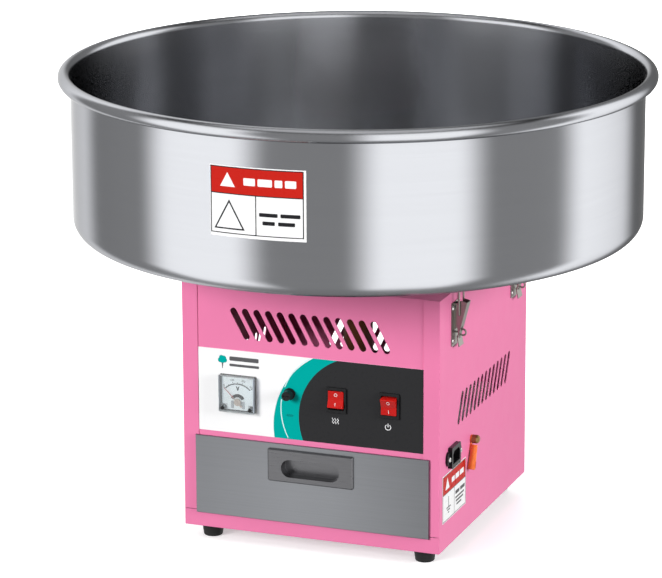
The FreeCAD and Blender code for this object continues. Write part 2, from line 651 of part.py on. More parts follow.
def earth_stud():
    """Threaded stud through the side panel with a domed nut outside."""
    x0 = HALF_W
    shank = rod(2.5, Vec(x0 - 12, EARTH_Y, EARTH_Z), Vec(x0 + 4, EARTH_Y, EARTH_Z))
    nut = rod(EARTH_NUT_R, Vec(x0 + 2.2, EARTH_Y, EARTH_Z), Vec(x0 + EARTH_OUT, EARTH_Y, EARTH_Z))
    rim = [edge for edge in nut.Edges if edge.CenterOfMass.x > x0 + EARTH_OUT - 0.1]
    nut = nut.makeFillet(EARTH_NUT_R - 1.4, rim)
    inside = rod(4.6, Vec(IN_W - 3.2, EARTH_Y, EARTH_Z), Vec(IN_W, EARTH_Y, EARTH_Z))
    return fused([shank, nut, inside])


def earth_terminal():
    """Ring terminal under the nut, with an insulating sleeve hanging from it, leaning forwards."""
    at = Vec(HALF_W, 0, 0)
    ring = rod(5.0, at + X * 0.2, at + X * 2.2)
    tongue = box(HALF_W + 0.2, HALF_W + 2.2, -2.4, 2.4, -14, 0)
    sleeve = cone(4.0, 4.7, at + X * 5.2 - Z * 7, at + X * 5.2 - Z * 37)
    end = cone(2.8, 3.2, at + X * 5.2 - Z * 26, at + X * 5.2 - Z * 38)
    notch = box(HALF_W + 5.2, HALF_W + 11, -1.1, 1.1, -35, -27)
    shape = fused([ring, tongue, minus(sleeve, end, notch)])
    shape = minus(shape, rod(2.6, at - X, at + X * 4))
    shape.rotate(Vec(0, 0, 0), X, -21)
    shape.translate(Vec(0, EARTH_Y, EARTH_Z))
    nut = Vec(HALF_W + 2.2, EARTH_Y, EARTH_Z)
    return minus(shape, box(HALF_W - 5, HALF_W + 0.1, EARTH_Y - 40, EARTH_Y + 40, 60, 160),
                 rod(EARTH_NUT_R + 0.1, nut, nut + X * 9.8))


def side_label():
    return box(HALF_W, HALF_W + LABEL_T, LABEL_Y0, LABEL_Y1, LABEL_Z0, LABEL_Z1)


# ---- Toggle latches ----

def latch_at(shape, corner):
    """Move a latch shape, drawn at y = 0 on the plane x = 0, to one corner of the housing."""
    side, end = corner
    shape = shape.copy()
    if side < 0:
        shape = mirrored_x(shape)
    shape.translate(Vec(side * HALF_W, end * LATCH_Y, 0))
    return shape


CORNERS = {"front_right": (1, -1), "back_right": (1, 1), "front_left": (-1, -1), "back_left": (-1, 1)}


def rivet_spots():
    return [(-9.3, 309.0), (9.3, 309.0), (-9.3, 270.0), (9.3, 270.0)]


def latch_holes():
    tools = []
    for end in (-1, 1):
        for y, z in rivet_spots():
            spot = Vec(HALF_W, end * LATCH_Y + y, z)
            tools.append(rod(1.7, spot - X * 3, spot + X * 2))
    return tools


def latch_rivets():
    rivets = []
    for y, z in rivet_spots():
        spot = Vec(0, y, z)
        head = cone(3.0, 1.9, spot + X * LATCH_T, spot + X * 2.6)
        rivets.append(fused([rod(1.65, spot - X * 2.6, spot + X * LATCH_T), head,
                             rod(2.8, spot - X * 2.6, spot - X * SHEET)]))
    return group([latch_at(rivet, corner) for corner in CORNERS.values() for rivet in rivets])


def latch_base():
    plate = plate_yz(rounded(at_yz, -LATCH_PLATE_HALF, LATCH_PLATE_HALF, LATCH_PLATE_Z0, LATCH_PLATE_Z1, 2.5),
                     0, LATCH_T)
    s, z = PIVOT
    ear_line = [((s, z + EAR_R),), ((s + EAR_R * math.sqrt(0.5), z + EAR_R * math.sqrt(0.5)), (s + EAR_R, z)),
                ((s + 1.2, z - 6.0),), ((3.6, 284.0),), ((0.6, 281.0),)]
    ears = []
    for side in (-1, 1):
        y0, y1 = sorted((side * EAR_IN, side * EAR_OUT))
        ears.append(plate_xz(outline(at_xz, (0.6, z + EAR_R), ear_line), y0, y1))
    eye_s, eye_z, ring_r, wire_r = EYE
    ring = Part.makeTorus(ring_r, wire_r, Vec(eye_s, 0, eye_z), Y)
    stem = rod(wire_r, Vec(0.5, 0, eye_z), Vec(eye_s - ring_r, 0, eye_z))
    pin = rod(PIN_R + RUN, Vec(s, -8, z), Vec(s, 8, z))
    holes = [rod(1.7, Vec(-1, y, rz), Vec(2, y, rz)) for y, rz in rivet_spots()]
    return minus(fused([plate, ring, stem] + ears), pin, *holes)


def latch_bases():
    return group([latch_at(latch_base(), corner) for corner in CORNERS.values()])


def latch_lever():
    """Channel lever: a sloping outer face, two flanges on the pivot pin, and a flared tip."""
    tip_line = [(6.4, 272.8), (8.7, 262.4), (7.6, 262.0), (5.2, 272.9)]
    outer = plate_xz(polygon(at_xz, [(16.4, 316.6), (17.6, 316.2)] + tip_line), -LEVER_OUT, LEVER_OUT)
    flange_line = [(16.6, 316.6), (9.4, 318.4), (4.8, 300.0), (4.9, 288.0), (6.6, 277.5)]
    flanges = []
    for side in (-1, 1):
        y0, y1 = sorted((side * LEVER_IN, side * LEVER_OUT))
        flanges.append(plate_xz(polygon(at_xz, flange_line), y0, y1))
    flare = plate_xz(polygon(at_xz, tip_line), -8.0, 8.0)
    pin = rod(PIN_R, Vec(PIVOT[0], -LEVER_OUT - 0.3, PIVOT[1]), Vec(PIVOT[0], LEVER_OUT + 0.3, PIVOT[1]))
    slot = box(-2, 20, -1.9, 1.9, 271.5, 286.0)
    bail_bore = rod(WIRE_R + RUN, Vec(JOINT[0], -10, JOINT[1]), Vec(JOINT[0], 10, JOINT[1]))
    return minus(fused([outer, flare, pin] + flanges), slot, bail_bore)


def latch_bail():
    """A bent wire: two legs joined by a top bar, with their feet turned in through the lever."""
    s, z = JOINT
    bend = 3.2
    drop = bend * (1 - math.sqrt(0.5))
    toe = 1.3
    toe_drop = toe * (1 - math.sqrt(0.5))
    path = [Part.LineSegment(Vec(s, -LEVER_IN, z), Vec(s, -WIRE_Y + toe, z)).toShape(),
            Part.Arc(Vec(s, -WIRE_Y + toe, z), Vec(s, -WIRE_Y + toe_drop, z + toe_drop),
                     Vec(s, -WIRE_Y, z + toe)).toShape(),
            Part.LineSegment(Vec(s, -WIRE_Y, z + toe), Vec(s, -WIRE_Y, BAR_Z - bend)).toShape(),
            Part.Arc(Vec(s, -WIRE_Y, BAR_Z - bend), Vec(s, -WIRE_Y + drop, BAR_Z - drop),
                     Vec(s, -WIRE_Y + bend, BAR_Z)).toShape(),
            Part.LineSegment(Vec(s, -WIRE_Y + bend, BAR_Z), Vec(s, 0, BAR_Z)).toShape()]
    start = Part.Wire(Part.makeCircle(WIRE_R, Vec(s, -LEVER_IN, z), Y))
    half = Part.Wire(path).makePipeShell([start], True, False, 2)
    other = half.mirror(Vec(0, 0, 0), Y)
    return fused([half, other])


# ---- Drawer ----

def drawer_box():
    half, y0, y1 = DRAWER_HALF, FACE_FRONT + SHEET, DRAWER_BACK
    shell = minus(box(-half, half, y0, y1, DRAWER_Z0, DRAWER_Z1),
                  box(-half + SHEET, half - SHEET, y0 + SHEET, y1 - SHEET, DRAWER_Z0 + SHEET, DRAWER_Z1 + 1))
    runners = []
    for side in (-1, 1):
        x0, x1 = sorted((side * (half - 0.5), side * RUNNER_X))
        runners.append(box(x0, x1, -158, y1, RUNNER_Z, RUNNER_Z + SHEET))
    return minus(fused([shell] + runners), pull_cutout())


def cup_outline(radius):
    reach = CUP_HALF_W - CUP_R
    return stadium(at_xz, (FACE_SHIFT - reach, CUP_Z), (FACE_SHIFT + reach, CUP_Z), radius)


def pull_cutout():
    return plate_xz(cup_outline(CUP_R + 1.6), FACE_FRONT - 1, FACE_FRONT + 20)


def drawer_front():
    """Brushed plate with folded edges, standing just in front of the housing's lips."""
    x0, x1 = FACE_SHIFT - FACE_HALF, FACE_SHIFT + FACE_HALF
    block = box(x0, x1, FACE_FRONT, FACE_BACK, FACE_Z0, FACE_Z1)
    edges = [edge for edge in block.Edges if abs(edge.CenterOfMass.y - FACE_FRONT) < 0.01]
    block = block.makeFillet(0.9, edges)
    hollow = box(x0 + SHEET, x1 - SHEET, FACE_FRONT + SHEET, FACE_BACK + 1, FACE_Z0 + SHEET, FACE_Z1 - SHEET)
    return minus(block, hollow, pull_cutout())


def drawer_pull():
    """Recessed pull: a bevelled flange around a round-ended cup."""
    x0, x1 = FACE_SHIFT - PULL_HALF_W, FACE_SHIFT + PULL_HALF_W
    z0, z1 = PULL_Z - PULL_HALF_H, PULL_Z + PULL_HALF_H
    front = FACE_FRONT - PULL_T
    flange = plate_xz(rounded(at_xz, x0, x1, z0, z1, 2.5), front, FACE_FRONT)
    edges = [edge for edge in flange.Edges if abs(edge.CenterOfMass.y - front) < 0.01]
    flange = flange.makeChamfer(1.6, edges)
    cup = plate_xz(cup_outline(CUP_R + 1.2), FACE_FRONT, front + CUP_DEPTH + 1.2)
    room = plate_xz(cup_outline(CUP_R), front - 1, front + CUP_DEPTH)
    return minus(fused([flange, cup]), room)


# ---- Bowl ----

def bowl_shell():
    wall_in = WALL_R - BOWL_SHEET
    curl_r, curl_z = WALL_R - BOWL_SHEET + CURL_R, RIM_Z - CURL_R
    inner_curl = CURL_R - BOWL_SHEET
    corner_r, corner_z = WALL_R - CORNER_R, BOWL_Z + CORNER_R
    half = math.sqrt(0.5)
    bend = 4.0
    lip_in, lip_out = HOLE_R, HOLE_R + BOWL_SHEET
    floor_top = BOWL_Z + BOWL_SHEET

    def on_curl(radius, degrees):
        angle = math.radians(degrees)
        return (curl_r + radius * math.cos(angle), curl_z + radius * math.sin(angle))

    def on_corner(radius):
        return (corner_r + radius * half, corner_z - radius * half)

    moves = [((lip_in, BOWL_Z + bend),),
             ((lip_in + bend * (1 - half), BOWL_Z + bend * (1 - half)), (lip_in + bend, BOWL_Z)),
             ((corner_r, BOWL_Z),),
             (on_corner(CORNER_R), (WALL_R, corner_z)),
             ((WALL_R, curl_z),),
             (on_curl(inner_curl, 22.5), on_curl(inner_curl, -135)),
             (on_curl(CURL_R, -135),),
             (on_curl(CURL_R, 22.5), (wall_in, curl_z)),
             ((wall_in, corner_z),),
             (on_corner(CORNER_R - BOWL_SHEET), (corner_r, floor_top)),
             ((lip_in + bend, floor_top),),
             ((lip_in + bend - (bend - BOWL_SHEET) * half, BOWL_Z + bend - (bend - BOWL_SHEET) * half),
              (lip_out, BOWL_Z + bend)),
             ((lip_out, HOLE_LIP_Z),)]
    return turned(outline(at_xz, (lip_in, HOLE_LIP_Z), moves))


def bowl_catch():
    """A J-shaped strip under the bowl; the bar of a bail lies in its crook."""
    mid = JOINT[0] + 0.2
    inner, outer, strip = mid - 3.1, mid + 3.1, 1.5
    low = BAR_Z - WIRE_R - 1.2
    face = polygon(at_xz, [(-14.0, BOWL_Z), (-14.0, BOWL_Z - strip), (inner - strip, BOWL_Z - strip),
                           (inner - strip, low - strip), (outer + strip, low - strip),
                           (outer + strip, low + 4.2), (outer, low + 4.2), (outer, low), (inner, low),
                           (inner, BOWL_Z)])
    return plate_xz(face, -6.0, 6.0)


def bowl_catches():
    return group([latch_at(bowl_catch(), corner) for corner in CORNERS.values()])


def bowl_label():
    start, end, z0, z1 = BOWL_LABEL
    ring = Part.makeCylinder(WALL_R + LABEL_T, z1 - z0, Vec(0, 0, z0), Z, end - start)
    ring = ring.cut(Part.makeCylinder(WALL_R, z1 - z0, Vec(0, 0, z0), Z, 360))
    ring.rotate(Vec(0, 0, 0), Z, start - 90)
    return ring


# ---- Drive and spinner head ----

def motor():
    """Motor can with grooves between its end bells, and a bore for the shaft."""
    z0, z1 = MOTOR_Z0, MOTOR_Z1
    can = rod(MOTOR_R - 3, Vec(0, 0, z0 + BELL_H), Vec(0, 0, z1 - BELL_H))
    bells = [rod(MOTOR_R, Vec(0, 0, z0), Vec(0, 0, z0 + BELL_H)),
             cone(MOTOR_R, MOTOR_R - 8, Vec(0, 0, z1 - BELL_H), Vec(0, 0, z1))]
    bores = []
    for index in range(12):
        angle = math.radians(30 * index)
        centre = Vec(MOTOR_R * math.cos(angle), MOTOR_R * math.sin(angle), 0)
        bores.append(rod(3.5, centre + Z * (z0 + BELL_H + 3), centre + Z * (z1 - BELL_H - 3)))
    shaft = rod(SHAFT_R + RUN, Vec(0, 0, z0 - 5), Vec(0, 0, z1 + 5))
    return minus(fused([can] + bells), shaft, *bores)


def motor_mount_plate():
    plate = box(-PLATE_HALF, PLATE_HALF, -PLATE_HALF, PLATE_HALF, PLATE_Z, PLATE_Z + PLATE_T)
    corners = [edge for edge in plate.Edges if abs(edge.Length - PLATE_T) < 0.01]
    plate = plate.makeFillet(8, corners)
    centre = rod(SHAFT_R + 2, Vec(0, 0, PLATE_Z - 5), Vec(0, 0, PLATE_Z + PLATE_T + 5))
    return minus(plate, centre, *holes_for(motor_bolts()))


def motor_isolators():
    pads = []
    for sx in (-1, 1):
        for sy in (-1, 1):
            at = Vec(sx * ISOLATOR_AT, sy * ISOLATOR_AT, SHELF_Z + SHEET)
            top = at + Z * ISOLATOR_H
            waist = Part.makeTorus(ISOLATOR_R + 1.5, 3.0, (at + top) * 0.5)
            pads.append(minus(rod(ISOLATOR_R, at, top), rod(3.1, at, top), waist))
    return group(pads)


def drive_shaft():
    thin = rod(STUD_R, Vec(0, 0, HEAD_Z), Vec(0, 0, HEAD_TOP + 10))
    return fused([rod(SHAFT_R, Vec(0, 0, MOTOR_Z0 - 3), Vec(0, 0, HEAD_Z)), thin])


def slip_ring_hub():
    """Insulating hub round the shaft, with a long lower sleeve and a flange under the head."""
    sleeve = rod(SLEEVE_R, Vec(0, 0, SLEEVE_Z), Vec(0, 0, HUB_Z0))
    hub = rod(HUB_R, Vec(0, 0, HUB_Z0), Vec(0, 0, HUB_Z1))
    flange = rod(HUB_R + 4, Vec(0, 0, HUB_Z1), Vec(0, 0, HUB_Z1 + HUB_FLANGE))
    bore = rod(SHAFT_R, Vec(0, 0, SLEEVE_Z - 5), Vec(0, 0, HUB_Z1 + HUB_FLANGE + 5))
    return minus(fused([sleeve, hub, flange]), bore)


def slip_rings():
    rings = []
    for z in RING_ZS:
        rings.append(minus(rod(RING_R, Vec(0, 0, z), Vec(0, 0, z + RING_H)),
                           rod(HUB_R, Vec(0, 0, z), Vec(0, 0, z + RING_H))))
    return group(rings)


def brush_box(z):
    start = RING_R + BRUSH_GAP
    return box(start, start + BRUSH_LENGTH, -BRUSH_HALF, BRUSH_HALF, z + 2, z + RING_H - 2)


def brush_holder():
    """Insulating block hung from the top plate by a foot."""
    foot_top = TOP_Z - SHEET
    block = box(HOLDER_IN, HOLDER_OUT, -HOLDER_HALF, HOLDER_HALF, HUB_Z0 + 4, HOLDER_TOP)
    foot_half = HOLDER_HALF + 6
    foot = box(HOLDER_IN, HOLDER_X + 7, -foot_half, foot_half, foot_top - 5, foot_top)
    return minus(fused([block, foot]), *[brush_box(z) for z in RING_ZS], *holes_for(holder_screws()))


def brushes():
    return group([brush_box(z) for z in RING_ZS])


def head_base():
    boss = rod(17.0, Vec(0, 0, HUB_Z1 + HUB_FLANGE), Vec(0, 0, HEAD_Z))
    disc_top = HEAD_Z + DISC_T
    disc = rod(HEAD_R, Vec(0, 0, HEAD_Z), Vec(0, 0, disc_top))
    edges = [edge for edge in disc.Edges if abs(edge.CenterOfMass.z - HEAD_Z) < 0.01]
    disc = disc.makeFillet(3.0, edges)
    rise = cone(30, 12, Vec(0, 0, disc_top), Vec(0, 0, disc_top + 10))
    groove = minus(rod(BAND_R1 + 0.1, Vec(0, 0, disc_top - 1.5), Vec(0, 0, disc_top + 1)),
                   rod(BAND_R0 - 0.1, Vec(0, 0, disc_top - 1.5), Vec(0, 0, disc_top + 1)))
    shaft = fused([rod(SHAFT_R, Vec(0, 0, HUB_Z1), Vec(0, 0, HEAD_Z)),
                   rod(STUD_R, Vec(0, 0, HEAD_Z), Vec(0, 0, disc_top + 22))])
    return minus(fused([boss, disc, rise]), shaft, groove)


def heating_element():
    """A zigzag ribbon standing on the head's base, just inside the mesh band."""
    def loop(offset):
        points = []
        for index in range(2 * ELEMENT_WAVES):
            angle = math.radians(180 / ELEMENT_WAVES * index)
            radius = ELEMENT_R + offset + (ELEMENT_SWING if index % 2 else -ELEMENT_SWING)
            points.append((radius * math.cos(angle), radius * math.sin(angle)))
        return polygon(lambda a, b: Vec(a, b, HEAD_Z + DISC_T), points)
    ribbon = loop(ELEMENT_HALF_T).extrude(Z * ELEMENT_H)
    return minus(ribbon, loop(-ELEMENT_HALF_T).extrude(Z * ELEMENT_H))


def mesh_band():
    """Slit band: each cutting tool crosses the axis, so it makes two slits."""
    z0, z1 = HEAD_Z + 4.6, HEAD_TOP - 4.0
    band = minus(rod(BAND_R1, Vec(0, 0, z0), Vec(0, 0, z1)), rod(BAND_R0, Vec(0, 0, z0), Vec(0, 0, z1)))
    tools = []
    for index in range(BAND_SLITS // 2):
        tool = box(-80, 80, -1.1, 1.1, z0 + 4, z1 - 3)
        tool.rotate(Vec(0, 0, 0), Z, 360 / BAND_SLITS * index)
        tools.append(tool)
    return band.cut(Part.makeCompound(tools))


def head_cap():
    """Top cap with a funnel mouth, crossed by a bridge that the centre nut holds down."""
    z1 = HEAD_TOP
    face = polygon(at_xz, [(CAP_HOLE_R, z1 - 10), (CAP_HOLE_R + 1.5, z1 - 10), (CAP_HOLE_R + 3.5, z1 - 4),
                           (HEAD_R, z1 - 4), (HEAD_R, z1 - 1.5), (HEAD_R - 2, z1), (CAP_HOLE_R, z1)])
    bridge = box(-CAP_HOLE_R - 2, CAP_HOLE_R + 2, -6.5, 6.5, z1 - 4, z1)
    return minus(fused([turned(face), bridge]), rod(STUD_R, Vec(0, 0, z1 - 10), Vec(0, 0, z1 + 5)))


def head_nut():
    angles = [math.radians(60 * index) for index in range(6)]
    points = [(NUT_R * math.cos(angle), NUT_R * math.sin(angle)) for angle in angles]
    nut = polygon(lambda a, b: Vec(a, b, HEAD_TOP), points).extrude(Z * NUT_H)
    washer = rod(NUT_R, Vec(0, 0, HEAD_TOP), Vec(0, 0, HEAD_TOP + 1.2))
    return minus(fused([nut, washer]), rod(STUD_R, Vec(0, 0, HEAD_TOP - 1), Vec(0, 0, HEAD_TOP + 12)))


def terminal_block():
    """Strip of screw terminals on the bay's shelf."""
    x0, y0, z0 = TERMINAL_X, TERMINAL_Y, SHELF_Z + SHEET
    xs = [x0 + TERMINAL_PITCH * index for index in range(TERMINALS)]
    block = box(x0, x0 + TERMINAL_PITCH * TERMINALS, y0, y0 + 22, z0, z0 + 9)
    posts = [box(x + 1, x + TERMINAL_PITCH - 1, y0 + 5, y0 + 17, z0 + 9, z0 + 17) for x in xs]
    middle = TERMINAL_PITCH / 2
    screws = [rod(2.4, Vec(x + middle, y0 + 11, z0 + 14), Vec(x + middle, y0 + 11, z0 + 18)) for x in xs]
    return minus(fused([block] + posts), *screws)


def main():
    os.makedirs("parts", exist_ok=True)
    save("base_tray", base_tray())
    right = side_panel_right()
    save("side_panel_right", minus(right, inlet_cutout(), *holes_for(inlet_screws()),
                                   rod(2.6, Vec(150, EARTH_Y, EARTH_Z), Vec(170, EARTH_Y, EARTH_Z))))
    save("side_panel_left", mirrored_x(right))
    save("front_panel", front_panel())
    save("back_panel", back_panel())
    save("top_plate", top_plate())
    save("bay_shelf", bay_shelf())
    save("drawer_rails", drawer_rails())
    save("bowl_seat", bowl_seat())
    save("seat_gasket", seat_gasket())
    save("feet", feet())
    save("machine_screws", machine_screws())
    save("control_overlay", control_overlay())
    save("voltmeter_case", voltmeter_case())
    save("voltmeter_dial", voltmeter_dial())
    save("voltmeter_window", voltmeter_window())
    save("voltmeter_screws", voltmeter_screws())
    save("voltmeter_needle", voltmeter_needle())
    save("fuse_holder_body", fuse_holder_body())
    save("fuse_cap", fuse_cap())
    save("fuse", fuse())
    for kind, centre in SWITCH_XS.items():
        save(kind + "_switch_body", switch_body(centre))
        save(kind + "_rocker", rocker(centre, -ROCK_DEG if kind == "heat" else ROCK_DEG))
    save("mains_inlet", mains_inlet())
    save("inlet_pins", inlet_pins())
    save("earth_stud", earth_stud())
    save("earth_terminal", earth_terminal())
    save("side_label", side_label())
    save("latch_bases", latch_bases())
    save("latch_rivets", latch_rivets())
    for name, corner in CORNERS.items():
        save("latch_lever_" + name, latch_at(latch_lever(), corner))
        save("latch_bail_" + name, latch_at(latch_bail(), corner))
    save("drawer_box", drawer_box())
    save("drawer_front", drawer_front())
    save("drawer_pull", drawer_pull())
    save("bowl_shell", bowl_shell())
    save("bowl_catches", bowl_catches())
    save("bowl_label", bowl_label())
    save("motor", motor())
    save("motor_mount_plate", motor_mount_plate())
    save("motor_isolators", motor_isolators())
    save("drive_shaft", drive_shaft())
    save("slip_ring_hub", slip_ring_hub())
    save("slip_rings", slip_rings())
    save("brush_holder", brush_holder())
    save("brushes", brushes())
    save("head_base", head_base())
    save("heating_element", heating_element())
    save("mesh_band", mesh_band())
    save("head_cap", head_cap())
    save("head_nut", head_nut())
    save("terminal_block", terminal_block())


main()
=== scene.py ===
import json
import math

import bmesh
import bpy
from mathutils import Matrix, Vector


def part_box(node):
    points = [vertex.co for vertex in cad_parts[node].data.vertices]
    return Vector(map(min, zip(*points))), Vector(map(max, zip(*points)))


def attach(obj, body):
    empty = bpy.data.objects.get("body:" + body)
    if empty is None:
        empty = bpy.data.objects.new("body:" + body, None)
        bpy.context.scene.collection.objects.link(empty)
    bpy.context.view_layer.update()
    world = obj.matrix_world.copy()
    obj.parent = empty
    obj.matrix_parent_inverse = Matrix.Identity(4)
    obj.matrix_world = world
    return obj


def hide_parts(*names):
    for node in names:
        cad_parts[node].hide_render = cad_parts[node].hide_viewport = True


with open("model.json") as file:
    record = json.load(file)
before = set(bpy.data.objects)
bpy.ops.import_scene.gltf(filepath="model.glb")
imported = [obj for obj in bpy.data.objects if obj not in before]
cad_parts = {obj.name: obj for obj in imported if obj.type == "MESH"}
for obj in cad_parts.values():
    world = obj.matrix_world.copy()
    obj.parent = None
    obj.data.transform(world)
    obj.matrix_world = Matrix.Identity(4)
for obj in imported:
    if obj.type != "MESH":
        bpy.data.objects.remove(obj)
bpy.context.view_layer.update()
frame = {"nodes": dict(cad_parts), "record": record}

NODES = frame["nodes"]
SLOT_OF = {row["node"]: row["material_slot"] for row in frame["record"]["subparts"]}
MM = 0.001
NEEDLE_DROP = 10.5            # the meter's needle pivots this far below its middle, in millimetres
BEVEL_SAMPLES = 4             # rays that soften an edge in shading
FINISHES = {}                 # every material of this file, by name


# ---------------------------------------------------------------- materials

class Finish:
    """A node material round one Principled shader. Plain values go straight on the shader's own sockets."""

    def __init__(self, name, colour, **values):
        FINISHES[name] = self
        self.material = bpy.data.materials.new(name)
        self.material.use_nodes = True
        self.tree = self.material.node_tree
        self.shader = self.tree.nodes["Principled BSDF"]
        self.colour = colour
        self.set("Base Color", (*colour, 1))
        for socket, value in values.items():
            self.set(socket.replace("_", " "), value)

    def set(self, socket, value):
        if isinstance(value, bpy.types.NodeSocket):
            self.tree.links.new(value, self.shader.inputs[socket])
        else:
            self.shader.inputs[socket].default_value = value

    def add(self, kind, inputs=None, **settings):
        node = self.tree.nodes.new("ShaderNode" + kind)
        for key, value in settings.items():
            setattr(node, key, value)
        for socket, value in (inputs or {}).items():
            if isinstance(value, bpy.types.NodeSocket):
                self.tree.links.new(value, node.inputs[socket])
            else:
                node.inputs[socket].default_value = value
        return node

    def math(self, operation, *values):
        return self.add("Math", dict(enumerate(values)), operation=operation).outputs[0]

    def vector(self, operation, *values):
        return self.add("VectorMath", dict(enumerate(values)), operation=operation).outputs[0]

    def position(self, scale=(1, 1, 1)):
        """A point of the surface in metres, stretched."""
        coords = self.add("TexCoord").outputs["Object"]
        return self.vector("MULTIPLY", coords, scale)

    def round_position(self, along, across):
        """Coordinates for brush lines that run round the vertical axis."""
        split = self.add("SeparateXYZ", {0: self.add("TexCoord").outputs["Object"]})
        x, y, z = split.outputs
        radius = self.math("SQRT", self.math("ADD", self.math("MULTIPLY", x, x), self.math("MULTIPLY", y, y)))
        profile = self.math("MULTIPLY", self.math("ADD", radius, z), across)
        return self.add("CombineXYZ", {0: self.math("MULTIPLY", x, along), 1: self.math("MULTIPLY", y, along),
                                       2: profile}).outputs[0]

    def noise(self, vector, scale=1.0, detail=3.0, roughness=0.55):
        return self.add("TexNoise", {"Vector": vector, "Scale": scale, "Detail": detail,
                                     "Roughness": roughness}).outputs[0]

    def spread(self, value, low, high, start=0.3, end=0.7):
        """Maps a value onto low to high. Most noise lies between the default start and end."""
        return self.add("MapRange", {"Value": value, "From Min": start, "From Max": end, "To Min": low,
                                     "To Max": high}).outputs[0]

    def mix(self, share, first, second):
        node = self.add("Mix", data_type="RGBA")
        for index, value in ((0, share), (6, first), (7, second)):
            if isinstance(value, bpy.types.NodeSocket):
                self.tree.links.new(value, node.inputs[index])
            else:
                node.inputs[index].default_value = value
        return node.outputs[2]

    def mottle(self, value, low, high):
        """The base colour varies between low and high times itself."""
        dark, light = [(*[channel * factor for channel in self.colour], 1) for factor in (low, high)]
        self.set("Base Color", self.mix(self.spread(value, 0, 1), dark, light))

    def surface(self, shader):
        """Puts another shader in front of the Principled one."""
        self.tree.links.new(shader.outputs[0], self.tree.nodes["Material Output"].inputs["Surface"])

    def relief(self, height, distance, strength=1.0, edge=0.0):
        """Bump from a height, over edges softened by the given radius."""
        inputs = {"Height": height, "Distance": distance, "Strength": strength}
        if edge:
            inputs["Normal"] = self.add("Bevel", {"Radius": edge}, samples=BEVEL_SAMPLES).outputs[0]
        self.set("Normal", self.add("Bump", inputs).outputs[0])


def painted(name, colour):
    """Satin powder coat with a fine orange peel and slightly uneven colour."""
    f = Finish(name, colour, Roughness=0.34, Specular_IOR_Level=0.05)
    f.mottle(f.noise(f.position(), 9, 3), 0.975, 1.02)
    f.set("Roughness", f.spread(f.noise(f.position(), 60, 4), 0.29, 0.40))
    f.relief(f.noise(f.position(), 900, 2), 0.00006, 0.35, edge=0.0008)


def brushed(name, colour, stretch, roughness, grain=0.00002, contrast=0.06):
    """Metal with brush lines; stretch is small along the lines and large across them."""
    f = Finish(name, colour, Metallic=1.0, Roughness=roughness)
    lines = f.noise(f.position(stretch), 1, 4, 0.65)
    patches = f.noise(f.position(), 14, 3)
    f.mottle(lines, 1 - contrast, 1 + contrast * 0.5)
    f.set("Roughness", f.math("ADD", f.spread(lines, roughness - 0.05, roughness + 0.05),
                              f.spread(patches, -0.02, 0.03)))
    f.relief(lines, grain, 0.5, edge=0.0004)


def spun(name, colour, roughness, across=900.0, grain=0.00002, contrast=0.05, edge=1.0, streak=0.0,
         vary=0.04):
    """Metal polished on a lathe: fine lines round the vertical axis, across of them to the metre."""
    along = 6.0
    f = Finish(name, colour, Metallic=1.0, Roughness=roughness, Specular_Tint=(edge, edge, edge, 1),
               Anisotropic=streak, Anisotropic_Rotation=0.25)
    lines = f.noise(f.round_position(along, across), 1, 4, 0.6)
    broad = f.noise(f.round_position(along * 0.3, across * 0.06), 1, 2)
    patches = f.noise(f.position(), 7, 3)
    both = f.math("ADD", f.math("MULTIPLY", lines, 0.65), f.math("MULTIPLY", broad, 0.35))
    f.mottle(both, 1 - contrast, 1 + contrast * 0.4)
    f.set("Roughness", f.math("ADD", f.spread(lines, roughness - vary, roughness + vary),
                              f.spread(patches, -vary * 0.4, vary * 0.5)))
    f.relief(lines, grain, 0.5)


def moulded(name, colour, roughness=0.3, grain=0.00003, edge=0.0004, **values):
    """Moulded plastic or rubber with a fine surface texture."""
    f = Finish(name, colour, Roughness=roughness, **values)
    fine = f.noise(f.position(), 1500, 3)
    f.mottle(f.noise(f.position(), 40, 3), 0.94, 1.06)
    f.set("Roughness", f.spread(f.noise(f.position(), 120, 3), roughness - 0.05, roughness + 0.06))
    f.relief(fine, grain, 0.4, edge)


def printed(name, colour, roughness=0.28):
    """Ink or film: nearly even, with a faint texture."""
    f = Finish(name, colour, Roughness=roughness, Specular_IOR_Level=0.04)
    f.mottle(f.noise(f.position(), 25, 3), 0.993, 1.007)
    f.set("Roughness", f.spread(f.noise(f.position(), 200, 2), roughness - 0.02, roughness + 0.03))
    f.relief(f.noise(f.position(), 500, 2), 0.00001, 0.15)


def clear(name, tint, edge):
    """Clear plastic or glass: see-through from the front, with painted shade where its faces turn sideways, so
    that it looks darker through its edges.
    """
    f = Finish(name, tint, Roughness=0.04, IOR=1.49)
    f.mottle(f.noise(f.position(), 60, 2), 0.97, 1.0)
    sideways = f.add("SeparateXYZ", {0: f.add("TexCoord").outputs["Normal"]}).outputs[0]
    # painted shade: faces turned sideways see through the darker edge colour, standing in for how refraction
    # darkens the edges
    flat = f.spread(f.math("ABSOLUTE", sideways), 1, 0, 0.4, 0.8)
    see = f.add("BsdfTransparent", {"Color": f.mix(flat, edge, (0.965, 0.975, 0.975, 1))})
    gloss = f.add("Fresnel", {"IOR": 1.6}).outputs[0]
    share = f.math("ADD", f.math("MULTIPLY", gloss, 0.9), 0.03)
    both = f.add("MixShader", {0: share, 1: see.outputs[0], 2: f.shader.outputs[0]})
    f.surface(both)


